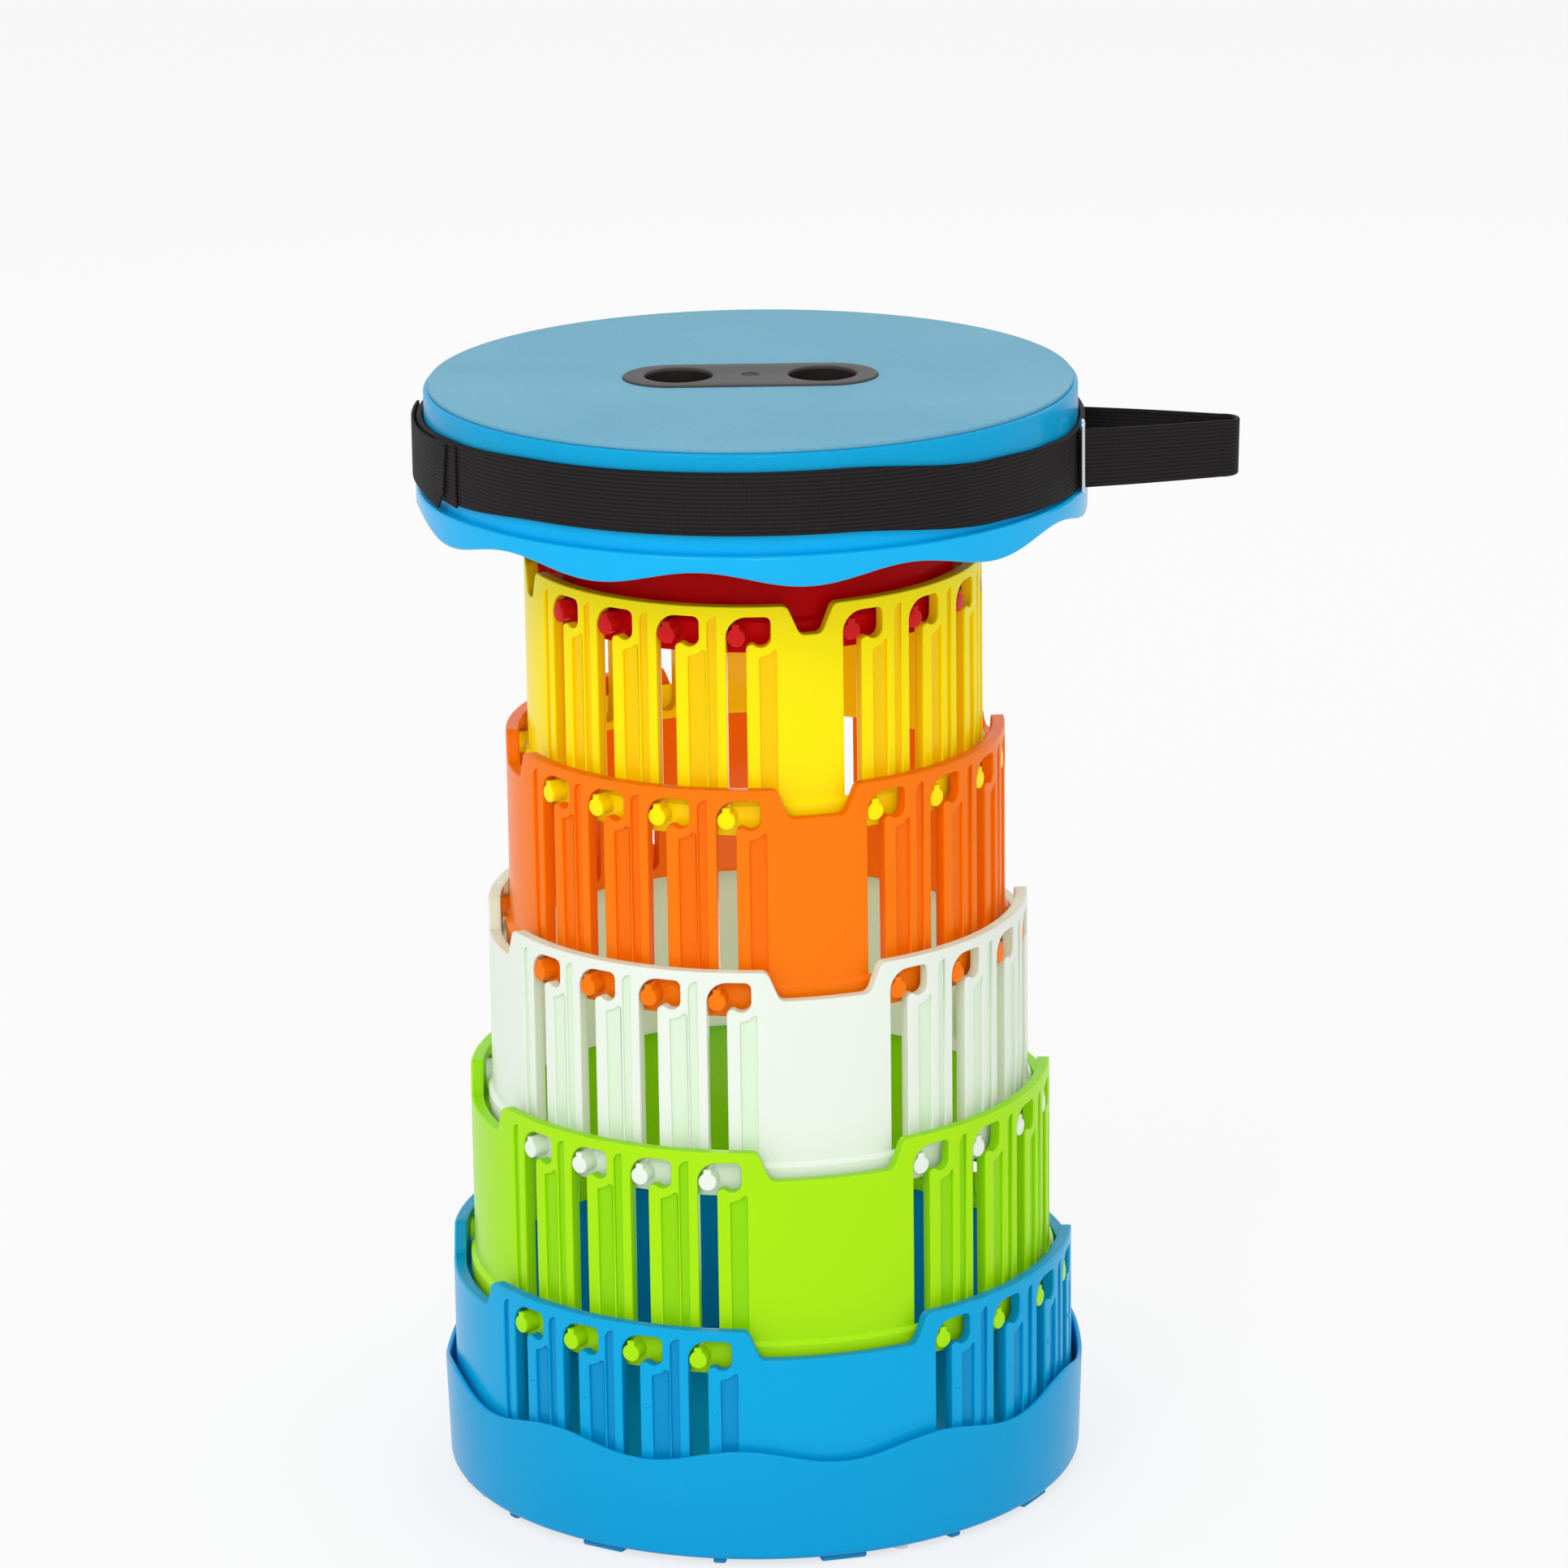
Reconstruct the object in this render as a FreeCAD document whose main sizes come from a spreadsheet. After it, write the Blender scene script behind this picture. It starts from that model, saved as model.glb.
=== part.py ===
import FreeCAD, Part
import math
import os
import re

import Sketcher
from FreeCAD import Placement, Rotation, Vector

# Telescopic stool: slotted rings slide into one another under a round seat with a carry strap.
# The frame has its origin on the floor at the stool's axis, +Z up and the front towards -Y.
# Places round the axis are angles from -Y towards +X. Lengths are millimetres, angles degrees.

SIZES = {
    # whole stool
    "stool_height": 440.0,
    "panel_turn": 14.0,
    "fold_clearance": 0.7,
    "slide_gap": 0.3,
    "seat_gap": 0.1,
    "cut_overrun": 3.0,
    # telescoping rings
    "base_radius": 123.0,
    "ring_pitch": 8.6,
    "ring_wall": 5.0,
    "base_rim_height": 94.5,
    "stage_rise": 69.0,
    "floor_clearance": 0.5,
    "rim_chamfer": 0.8,
    "band_height": 13.0,
    "band_proud": 1.6,
    # slots and pockets
    "group_arc": 113.7,
    "slot_width": 7.6,
    "left_group_start": 12.2,
    "left_slot_pitch": 27.3,
    "right_group_start": 0.0,
    "right_slot_pitch": 29.7,
    "pocket_width": 17.0,
    "pocket_top": 4.0,
    "arch_radius": 8.0,
    "pocket_corner": 2.5,
    "cradle_radius": 3.8,
    "shoulder_radius": 2.0,
    # pegs
    "peg_radius": 3.5,
    "peg_depth": 11.9,
    "peg_web_width": 3.0,
    "peg_web_height": 4.9,
    # shallow grooves beside each slot
    "groove_depth": 1.2,
    "shoulder_strip": 5.0,
    "wide_groove": 6.5,
    "wide_groove_drop": 4.2,
    "wide_groove_slope": 3.7,
    "thin_groove": 3.5,
    "thin_strip": 3.7,
    # notches in the rims
    "notch_depth": 11.5,
    "notch_margin": 3.5,
    "notch_flare": 5.0,
    "notch_round": 3.0,
    # base
    "foot_height": 3.5,
    "foot_ring_inner": 108.0,
    "foot_ring_outer": 117.2,
    "foot_lobe_reach": 123.6,
    "wide_lobe": 18.0,
    "narrow_lobe": 5.0,
    "cover_bottom": 2.0,
    "cover_lip_radius": 117.5,
    "base_plate_thickness": 2.0,
    "cover_level": 44.6,
    "cover_radius": 127.3,
    "cover_taper": 1.3,
    "cover_wall": 2.0,
    "cover_round": 3.0,
    "wave_height": 2.8,
    "cover_wave_turn": 14.0,
    "skirt_wave_turn": 9.0,
    # seat
    "insert_proud": 0.8,
    "mat_thickness": 1.6,
    "mat_inset": 0.6,
    "plate_thickness": 4.6,
    "seat_wall": 1.9,
    "seat_wall_depth": 41.6,
    "seat_edge_round": 1.2,
    "skirt_level": 390.8,
    "skirt_overlap": 4.0,
    "skirt_thickness": 3.6,
    "skirt_chamfer": 0.8,
    "insert_length": 98.0,
    "insert_width": 38.0,
    "finger_radius": 13.2,
    "finger_spacing": 55.2,
    "collar_wall": 1.8,
    "collar_depth": 2.0,
    "insert_edge": 0.6,
    # screws
    "screw_radius": 1.5,
    "screw_head_radius": 3.1,
    "screw_head_height": 1.4,
    "screw_slot_depth": 0.6,
    "screw_slot_width": 0.8,
    "handle_screw_length": 11.0,
    "handle_screw_sink": 0.5,
    "handle_boss_radius": 5.0,
    "handle_boss_height": 9.0,
    "seat_screw_length": 6.2,
    "seat_flange": 14.0,
    "seat_flange_thickness": 3.0,
    "base_screw_length": 7.0,
    "base_screw_turn": 11.25,
    # strap
    "strap_width": 24.0,
    "strap_thickness": 2.4,
    "strap_level": 419.5,
    "webbing_thickness": 2.0,
    "loop_drop": 5.0,
    "loop_reach": 58.7,
    "loop_front": 33.0,
    "loop_back": 17.0,
    "loop_tip_radius": 8.5,
    "loop_tip_side": 10.0,
    "tab_turn": 80.0,
    "tab_half_length": 40.0,
    "tab_corner": 33.0,
    "tab_point_drop": 6.9,
    "ring_wire": 2.0,
    "ring_place": 126.2,
    "ring_corner": 1.2,
}

RING_COLOURS = ["base", "green", "white", "orange", "yellow"]
SLOTS_PER_GROUP = 4
HALF_TURNS = 2
PANEL_COUNT = 4
FOOT_LOBES = 8
SCREW_COUNT = 4
FULL_TURN = 360
WAVE_COUNT = 10
POINTS_PER_WAVE = 8

# Each group of slots: the place of its panel edge, its first slot, its pitch and its thin grooves.
GROUPS = [
    ("left", -FULL_TURN / PANEL_COUNT, "left_group_start", "left_slot_pitch", 0),
    ("right", 0, "right_group_start", "right_slot_pitch", 1),
]

# Places that several pieces share, written in the sizes above.
BASE_PLATE_TOP = "(foot_height+base_plate_thickness)"
SHELL_TOP = "(stool_height-insert_proud-mat_thickness)"
SHELL_UNDERSIDE = f"({SHELL_TOP}-plate_thickness)"
SHELL_WALL_BOTTOM = f"({SHELL_TOP}-seat_wall_depth)"
SHELL_INNER = "(base_radius+fold_clearance)"
SHELL_OUTER = f"({SHELL_INNER}+seat_wall)"
SKIRT_TOP = f"({SHELL_WALL_BOTTOM}+skirt_overlap)"
SKIRT_OUTER = f"({SHELL_OUTER}+seat_gap+skirt_thickness)"
TOP_RIM = f"(base_rim_height+{len(RING_COLOURS) - 1}*stage_rise)"
SEAT_RISE = f"({SHELL_UNDERSIDE}-{TOP_RIM})"
BASE_RING_HEIGHT = f"(base_rim_height-{BASE_PLATE_TOP})"
RING_HEIGHT = f"({BASE_RING_HEIGHT}-floor_clearance)"
SLOT_END = "(peg_depth+stage_rise+peg_radius+slide_gap)"
BAND_OUTER = f"({SHELL_OUTER}+slide_gap+strap_thickness)"
LOOP_LEVEL = "(strap_level-loop_drop)"
HOLE_RADIUS = "(screw_radius+seat_gap)"

doc = FreeCAD.newDocument("telescopic_stool")
sheet = doc.addObject("Spreadsheet::Sheet", "sizes")
parts = []


# Sizes and expressions

def fill_sheet():
    for row, (name, size) in enumerate(SIZES.items(), start=1):
        sheet.set(f"A{row}", name)
        sheet.set(f"B{row}", str(size))
        sheet.setAlias(f"B{row}", name)
    doc.recompute()


def bind(text):
    """The expression with every size's name pointed at its cell of the sheet."""
    return re.sub(r"[a-z_]+", lambda word: f"sizes.{word[0]}" if word[0] in SIZES else word[0], str(text))


def value(text):
    return float(sheet.evalExpression(bind(text)))


def link(thing, name, text):
    thing.setExpression(name, bind(text))


def arc_angle(length, radius):
    """The angle of an arc length on a radius, as an expression in degrees."""
    return f"(({length})/({radius})*180/pi)"


def half_panel(radius):
    """Half the plain panel's angle: a quarter turn less one group of slots, halved."""
    return f"(45-{arc_angle('group_arc', radius)}/2)"


def group_turn(group, radius, offset):
    """The angle of a place that lies offset along the arc from a group's first slot's left edge."""
    _, edge, start, _, _ = group
    return f"({edge}+{half_panel(radius)}+{arc_angle(f'{start}+({offset})', radius)})"


# Bodies, sketches and features

def new_body(label):
    body = doc.addObject("PartDesign::Body", f"{label}_body")
    body.Label = label
    return body


def origin_part(body, role):
    return next(item for item in body.Origin.OriginFeatures if item.Role == role)


def flat_sketch(body, name, lift="0"):
    """A sketch on the body's level plane, lifted along Z."""
    sketch = body.newObject("Sketcher::SketchObject", f"{body.Label}_{name}_sketch")
    sketch.AttachmentSupport = [(origin_part(body, "XY_Plane"), "")]
    sketch.MapMode = "FlatFace"
    link(sketch, "AttachmentOffset.Base.z", lift)
    return sketch


def radial_sketch(body, name, lift="0", turn="0"):
    """An upright sketch whose plane faces outwards at the angle turn, at the distance lift."""
    sketch = body.newObject("Sketcher::SketchObject", f"{body.Label}_{name}_sketch")
    sketch.AttachmentSupport = [(origin_part(body, "XZ_Plane"), "")]
    sketch.MapMode = "FlatFace"
    sketch.AttachmentOffset = Placement(Vector(), Rotation(Vector(0, 1, 0), value(turn)))
    link(sketch, "AttachmentOffset.Base.x", f"({lift})*sin({turn})")
    link(sketch, "AttachmentOffset.Base.z", f"({lift})*cos({turn})")
    link(sketch, "AttachmentOffset.Rotation.Angle", turn)
    return sketch


def pin_point(sketch, geometry, end, across, along):
    """Holds one end or centre of a sketch's line, arc or circle at a place."""
    for kind, text in (("DistanceX", across), ("DistanceY", along)):
        constraint = sketch.addConstraint(Sketcher.Constraint(kind, geometry, end, value(text)))
        link(sketch, f"Constraints[{constraint}]", text)


def hold_radius(sketch, geometry, radius):
    constraint = sketch.addConstraint(Sketcher.Constraint("Radius", geometry, value(radius)))
    link(sketch, f"Constraints[{constraint}]", radius)


def arc_between(start, end, radius, bend):
    """The short arc between two points, bending left of its way for 1 and right for -1."""
    chord = end - start
    rise = math.sqrt(max(radius ** 2 - chord.Length ** 2 / 4, 0))
    side = Vector(-chord.y, chord.x, 0).normalize()
    centre = (start + end) / 2 + side * rise * bend
    first, last = (start, end) if bend > 0 else (end, start)
    angles = [math.atan2(point.y - centre.y, point.x - centre.x) for point in (first, last)]
    return Part.ArcOfCircle(Part.Circle(centre, Vector(0, 0, 1), radius), *angles)


def outline(sketch, corners):
    """A closed outline through corners (x, y), or (x, y, radius, bend) where an arc leaves the corner."""
    points = [Vector(value(corner[0]), value(corner[1]), 0) for corner in corners]
    base = sketch.GeometryCount
    ends = []
    for index, corner in enumerate(corners):
        start = points[index]
        end = points[(index + 1) % len(points)]
        if len(corner) == 2:
            sketch.addGeometry(Part.LineSegment(start, end))
            ends.append((1, 2))
        else:
            sketch.addGeometry(arc_between(start, end, value(corner[2]), corner[3]))
            ends.append((1, 2) if corner[3] > 0 else (2, 1))
    for index, corner in enumerate(corners):
        following = (index + 1) % len(corners)
        joint = (base + index, ends[index][1], base + following, ends[following][0])
        sketch.addConstraint(Sketcher.Constraint("Coincident", *joint))
        pin_point(sketch, base + index, ends[index][0], corner[0], corner[1])
        if len(corner) > 2:
            hold_radius(sketch, base + index, corner[2])


def circle(sketch, across, along, radius):
    centre = Vector(value(across), value(along), 0)
    geometry = sketch.addGeometry(Part.Circle(centre, Vector(0, 0, 1), value(radius)))
    pin_point(sketch, geometry, 3, across, along)
    hold_radius(sketch, geometry, radius)


def box_outline(sketch, left, bottom, right, top):
    outline(sketch, [(left, bottom), (right, bottom), (right, top), (left, top)])


def stadium(sketch, length, width):
    """A long rounded outline centred on the axis, with its length along X."""
    run = f"(({length})-({width}))/2"
    half = f"({width})/2"
    outline(sketch, [
        (f"-({run})", f"-({half})"), (run, f"-({half})", half, 1), (f"{run}+{half}", "0", half, 1),
        (run, half), (f"-({run})", half, half, 1), (f"-({run})-{half}", "0", half, 1),
    ])


def revolve(body, name, corners):
    sketch = radial_sketch(body, name)
    outline(sketch, corners)
    feature = body.newObject("PartDesign::Revolution", f"{body.Label}_{name}")
    feature.Profile = sketch
    feature.ReferenceAxis = (sketch, ["V_Axis"])
    feature.Angle = FULL_TURN
    doc.recompute()
    return feature


def pad(body, name, sketch, length, backwards=False):
    feature = body.newObject("PartDesign::Pad", f"{body.Label}_{name}")
    feature.Profile = sketch
    feature.Reversed = backwards
    link(feature, "Length", length)
    doc.recompute()
    return feature


def pocket(body, name, sketch, depth, backwards=False):
    before = body.Shape.Volume
    feature = body.newObject("PartDesign::Pocket", f"{body.Label}_{name}")
    feature.Profile = sketch
    feature.Reversed = backwards
    link(feature, "Length", depth)
    doc.recompute()
    if body.Shape.Volume >= before:
        raise RuntimeError(f"{feature.Name} cuts nothing")
    return feature


def repeat_round(body, name, features, steps):
    """Repeats features about Z, with a count and an angle in degrees for each step."""
    pattern = body.newObject("PartDesign::MultiTransform", f"{body.Label}_{name}")
    pattern.Originals = features
    turns = []
    for index, (count, angle) in enumerate(steps):
        turn = doc.addObject("PartDesign::PolarPattern", f"{body.Label}_{name}_turn_{index}")
        turn.Axis = (origin_part(body, "Z_Axis"), [""])
        turn.Occurrences = count
        link(turn, "Angle", angle)
        turns.append(turn)
    pattern.Transformations = turns
    body.Tip = pattern
    doc.recompute()


def place(thing, height="0", turn="0"):
    link(thing, "Placement.Base.z", height)
    link(thing, "Placement.Rotation.Angle", turn)


# Telescoping rings

def slot_outline(sketch):
    """A slot with its pocket on top, drawn from the slot's centre line and the ring's rim."""
    left = "-slot_width/2"
    right = "slot_width/2"
    far = f"{left}+pocket_width"
    cradle = f"{far}-cradle_radius"
    diagonal = "cradle_radius*cos(45)"
    shoulder = f"-peg_depth-{diagonal}"
    end = f"-{SLOT_END}+slot_width/2-slide_gap"
    outline(sketch, [
        (left, end), (left, "-pocket_top-arch_radius", "arch_radius", -1),
        (f"{left}+arch_radius", "-pocket_top"), (f"{far}-pocket_corner", "-pocket_top", "pocket_corner", -1),
        (far, "-pocket_top-pocket_corner"), (far, "-peg_depth", "cradle_radius", -1),
        (f"{cradle}-{diagonal}", shoulder), (f"{right}+shoulder_radius", shoulder, "shoulder_radius", 1),
        (right, f"{shoulder}-shoulder_radius"), (right, end, right, -1),
        ("0", f"{end}-slot_width/2", right, -1),
    ])


def cut_slots(body, radius, group):
    """One group's slots and the wide groove to the right of each, cut from just outside the wall."""
    side, _, _, pitch, _ = group
    lift = f"{radius}+slide_gap"
    sketch = radial_sketch(body, f"{side}_slot", lift, group_turn(group, radius, "slot_width/2"))
    slot_outline(sketch)
    slot = pocket(body, f"{side}_slot", sketch, radius)
    middle = "slot_width+shoulder_strip+wide_groove/2"
    sketch = radial_sketch(body, f"{side}_wide_groove", lift, group_turn(group, radius, middle))
    low = "-peg_depth-cradle_radius-wide_groove_drop"
    foot = f"-{RING_HEIGHT}+band_height"
    outline(sketch, [
        ("-wide_groove/2", foot), ("wide_groove/2", foot),
        ("wide_groove/2", f"{low}+wide_groove_slope"), ("-wide_groove/2", low),
    ])
    groove = pocket(body, f"{side}_wide_groove", sketch, "slide_gap+groove_depth")
    span = arc_angle(f"{SLOTS_PER_GROUP - 1}*{pitch}", radius)
    repeat_round(body, f"{side}_slots", [slot, groove], [(SLOTS_PER_GROUP, span), (HALF_TURNS, FULL_TURN)])


def cut_thin_grooves(body, radius, group):
    """The thin groove to the left of each slot that has a strip of wall there."""
    side, _, _, pitch, first = group
    middle = f"{first}*{pitch}-thin_strip-thin_groove/2"
    sketch = radial_sketch(body, f"{side}_thin_groove", f"{radius}+slide_gap", group_turn(group, radius, middle))
    foot = f"-{RING_HEIGHT}+band_height"
    half = "thin_groove/2"
    outline(sketch, [
        (f"-{half}", foot), (half, foot), (half, "-pocket_top", "thin_groove", 1),
        (f"-{half}", "-pocket_top-thin_groove"),
    ])
    groove = pocket(body, f"{side}_thin_groove", sketch, "slide_gap+groove_depth")
    copies = SLOTS_PER_GROUP - first
    span = arc_angle(f"{copies - 1}*{pitch}", radius)
    repeat_round(body, f"{side}_thin_grooves", [groove], [(copies, span), (HALF_TURNS, FULL_TURN)])


def cut_notches(body, radius):
    """A wide notch with rounded corners in the rim above each plain panel."""
    top = f"({radius})*sin({half_panel(radius)}-{arc_angle('notch_margin', radius)})"
    bottom = f"{top}-notch_flare"
    slope = "sqrt(notch_depth^2+notch_flare^2)"
    across = f"notch_flare/{slope}"
    along = f"notch_depth/{slope}"
    reach = f"notch_round*(1-{across})/({along})"
    right_side = [
        (f"{bottom}-{reach}", "-notch_depth", "notch_round", 1),
        (f"{bottom}+{reach}*{across}", f"-notch_depth+{reach}*{along}"),
        (f"{top}-{reach}*{across}", f"-{reach}*{along}", "notch_round", -1),
        (f"{top}+{reach}", "0"),
        (f"{top}+{reach}", "cut_overrun"),
    ]
    left_side = [
        (f"-({top}+{reach})", "cut_overrun"),
        (f"-({top}+{reach})", "0", "notch_round", -1),
        (f"-({top}-{reach}*{across})", f"-{reach}*{along}"),
        (f"-({bottom}+{reach}*{across})", f"-notch_depth+{reach}*{along}", "notch_round", 1),
        (f"-({bottom}-{reach})", "-notch_depth"),
    ]
    sketch = radial_sketch(body, "notch", f"{radius}+slide_gap")
    outline(sketch, left_side + right_side)
    notch = pocket(body, "notch", sketch, radius)
    repeat_round(body, "notches", [notch], [(PANEL_COUNT, FULL_TURN)])


def add_pegs(body, radius, rise, group):
    """Pegs on the ring's band that reach through the slots of the next larger ring."""
    side, _, _, pitch, _ = group
    larger = f"({radius}+ring_pitch)"
    tip = f"{larger}-slide_gap"
    root = f"({radius}+(band_proud+slide_gap)/2)"
    sketch = radial_sketch(body, f"{side}_peg", tip, group_turn(group, larger, "slot_width/2"))
    centre = f"-({rise})-peg_depth"
    half = "peg_web_width/2"
    joint = f"{centre}+sqrt(peg_radius^2-({half})^2)"
    crown = f"{centre}+peg_web_height"
    outline(sketch, [
        (half, crown), (f"-{half}", crown), (f"-{half}", joint, "peg_radius", 1),
        ("0", f"{centre}-peg_radius", "peg_radius", 1), (half, joint),
    ])
    peg = pad(body, f"{side}_peg", sketch, f"{tip}-{root}", backwards=True)
    span = arc_angle(f"{SLOTS_PER_GROUP - 1}*{pitch}", larger)
    repeat_round(body, f"{side}_pegs", [peg], [(SLOTS_PER_GROUP, span), (HALF_TURNS, FULL_TURN)])


def ring_profile(radius, height, banded):
    """The wall's section, from its inner foot round to its inner top, measured down from the rim."""
    band = [
        (f"{radius}+band_proud", f"-{height}"),
        (f"{radius}+band_proud", f"-{height}+band_height-band_proud"),
        (radius, f"-{height}+band_height"),
    ]
    plain = [(radius, f"-{height}")]
    return [
        (f"{radius}-ring_wall", f"-{height}"), *(band if banded else plain),
        (radius, "-rim_chamfer"), (f"{radius}-rim_chamfer", "0"),
    ]


def slotted_ring(step, colour):
    """One slotted ring: the base ring is step 0, and each further step is one stage higher."""
    body = new_body(f"{colour}_ring")
    radius = f"(base_radius-{step}*ring_pitch)"
    height = RING_HEIGHT if step else BASE_RING_HEIGHT
    revolve(body, "wall", ring_profile(radius, height, step > 0) + [(f"{radius}-ring_wall", "0")])
    cut_notches(body, radius)
    for group in GROUPS:
        cut_slots(body, radius, group)
        cut_thin_grooves(body, radius, group)
        if step:
            add_pegs(body, radius, "stage_rise", group)
    place(body, f"base_rim_height+{step}*stage_rise", "panel_turn")
    parts.append(body)
    return body


def red_ring():
    """The innermost ring: plain wall, pegs, and a flange screwed under the seat."""
    body = new_body("red_ring")
    radius = f"(base_radius-{len(RING_COLOURS)}*ring_pitch)"
    height = f"({SEAT_RISE}+{RING_HEIGHT}-stage_rise)"
    inner = f"{radius}-ring_wall"
    band = ring_profile(radius, height, True)
    wall = band[:-2] + [(radius, "0")]
    flange = [
        (f"{inner}-seat_flange", "0"), (f"{inner}-seat_flange", "-seat_flange_thickness"),
        (inner, "-seat_flange_thickness"),
    ]
    revolve(body, "wall", wall + flange)
    for group in GROUPS:
        add_pegs(body, radius, SEAT_RISE, group)
    screw_holes(body, SEAT_SCREW_CIRCLE, "0", "cut_overrun+seat_flange_thickness")
    place(body, SHELL_UNDERSIDE, "panel_turn")
    parts.append(body)


# Screws and their holes

SEAT_SCREW_CIRCLE = f"(base_radius-{len(RING_COLOURS)}*ring_pitch-ring_wall-seat_flange/2)"
BASE_SCREW_CIRCLE = "(base_radius-ring_wall/2)"


def screw_holes(body, distance, lift, depth, upwards=False, turn="0"):
    """Four holes on a circle, cut down from a level plane, or up from it."""
    sketch = flat_sketch(body, "screw_hole", lift)
    circle(sketch, f"{distance}*sin({turn})", f"-{distance}*cos({turn})", HOLE_RADIUS)
    hole = pocket(body, "screw_hole", sketch, depth, backwards=upwards)
    repeat_round(body, "screw_holes", [hole], [(SCREW_COUNT, FULL_TURN)])


def cylinder(name, radius, height, places):
    rod = doc.addObject("Part::Cylinder", name)
    link(rod, "Radius", radius)
    link(rod, "Height", height)
    for axis, text in zip("xyz", places):
        link(rod, f"Placement.Base.{axis}", text)
    return rod


def screw(name, across, along, seat, length, upwards):
    """A screw whose head rests on the level seat, with its shank up or down from there."""
    head_foot = f"{seat}-screw_head_height" if upwards else seat
    shank_foot = seat if upwards else f"{seat}-({length})"
    slot_foot = head_foot if upwards else f"{seat}+screw_head_height-screw_slot_depth"
    head = cylinder(f"{name}_head", "screw_head_radius", "screw_head_height", (across, along, head_foot))
    shank = cylinder(f"{name}_shank", "screw_radius", length, (across, along, shank_foot))
    whole = doc.addObject("Part::MultiFuse", f"{name}_blank")
    whole.Shapes = [head, shank]
    slot = doc.addObject("Part::Box", f"{name}_slot")
    link(slot, "Length", "2*screw_head_radius")
    link(slot, "Width", "screw_slot_width")
    link(slot, "Height", "screw_slot_depth")
    link(slot, "Placement.Base.x", f"{across}-screw_head_radius")
    link(slot, "Placement.Base.y", f"{along}-screw_slot_width/2")
    link(slot, "Placement.Base.z", slot_foot)
    cut = doc.addObject("Part::Cut", f"{name}_cut")
    cut.Base = whole
    cut.Tool = slot
    return cut


def screw_set(label, distance, first_turn, seat, length):
    """Four equal screws on a circle, heads down, as one piece of separate solids."""
    screws = []
    for index in range(SCREW_COUNT):
        turn = f"({first_turn}+{index * FULL_TURN // SCREW_COUNT})"
        across = f"{distance}*sin({turn})"
        along = f"-{distance}*cos({turn})"
        screws.append(screw(f"{label}_{index}", across, along, seat, length, True))
    group = doc.addObject("Part::MultiFuse", f"{label}_group")
    group.Shapes = screws
    group.Label = label
    parts.append(group)


def handle_screw():
    seat = "(stool_height-handle_screw_sink-screw_head_height)"
    item = screw("handle", "0", "0", seat, "handle_screw_length", False)
    item.Label = "handle_screw"
    parts.append(item)


# Wavy edges

def wave_ring(radius, level, height, turn):
    """A closed curve round the axis that rises and falls, lowest at the angle turn."""
    points = []
    for index in range(WAVE_COUNT * POINTS_PER_WAVE):
        share = index / (WAVE_COUNT * POINTS_PER_WAVE)
        angle = math.tau * share
        rise = -height * math.cos(WAVE_COUNT * (angle - math.radians(turn)))
        points.append(Vector(radius * math.sin(angle), -radius * math.cos(angle), level + rise))
    curve = Part.BSplineCurve()
    curve.interpolate(points, PeriodicFlag=True)
    return curve.toShape()


def wave_cutter(name, inner, outer, level, far_level, turn):
    """A thick tube with one wavy end and one flat end, to cut a wall to a wavy edge."""
    radii = (value(inner), value(outer))
    height = value("wave_height")
    waves = [wave_ring(radius, value(level), height, value(turn)) for radius in radii]
    flats = [wave_ring(radius, value(far_level), 0, 0) for radius in radii]
    faces = [
        Part.makeRuledSurface(waves[0], waves[1]), Part.makeRuledSurface(waves[0], flats[0]),
        Part.makeRuledSurface(waves[1], flats[1]), Part.makeRuledSurface(flats[0], flats[1]),
    ]
    shell = Part.makeShell(faces)
    shell.sewShape()
    solid = Part.makeSolid(Part.Shell(shell.Faces))
    if solid.Volume < 0:
        solid.reverse()
    cutter = doc.addObject("Part::Feature", name)
    cutter.Shape = solid
    return cutter


def cut_wavy(label, blank, cutter):
    piece = doc.addObject("Part::Cut", f"{label}_trimmed")
    piece.Base = blank
    piece.Tool = cutter
    piece.Label = label
    doc.recompute()
    if piece.Shape.Volume >= blank.Shape.Volume:
        raise RuntimeError(f"{label} keeps a straight edge")
    parts.append(piece)


# Base

def base_cover():
    """The outer cover of the base, with a wavy top edge and a lip that holds the base plate."""
    body = new_body("base_cover_blank")
    foot = "(cover_radius-cover_taper)"
    high = "(cover_level+wave_height+cut_overrun)"
    lip = "(foot_height)"
    revolve(body, "wall", [
        ("cover_lip_radius", "cover_bottom"), (f"{foot}-cover_round", "cover_bottom", "cover_round", 1),
        (foot, "cover_bottom+cover_round"), ("cover_radius", high), ("cover_radius-cover_wall", high),
        (f"{foot}-cover_wall", lip), ("cover_lip_radius", lip),
    ])
    turn = "panel_turn+base_screw_turn"
    screw_holes(body, BASE_SCREW_CIRCLE, lip, "foot_height-cover_bottom+cut_overrun", turn=turn)
    bounds = (f"{foot}-cover_wall-cut_overrun", "cover_radius+cut_overrun")
    far = f"{high}+cut_overrun"
    cutter = wave_cutter("cover_wave", *bounds, "cover_level", far, "cover_wave_turn")
    cut_wavy("base_cover", body, cutter)


def base_plate():
    """The disc that closes the base and carries the base ring."""
    body = new_body("base_plate")
    sketch = flat_sketch(body, "disc", "foot_height")
    circle(sketch, "0", "0", "base_radius+slide_gap")
    pad(body, "disc", sketch, "base_plate_thickness")
    turn = "panel_turn+base_screw_turn"
    screw_holes(body, BASE_SCREW_CIRCLE, BASE_PLATE_TOP, "base_plate_thickness+cut_overrun", turn=turn)
    parts.append(body)


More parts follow.
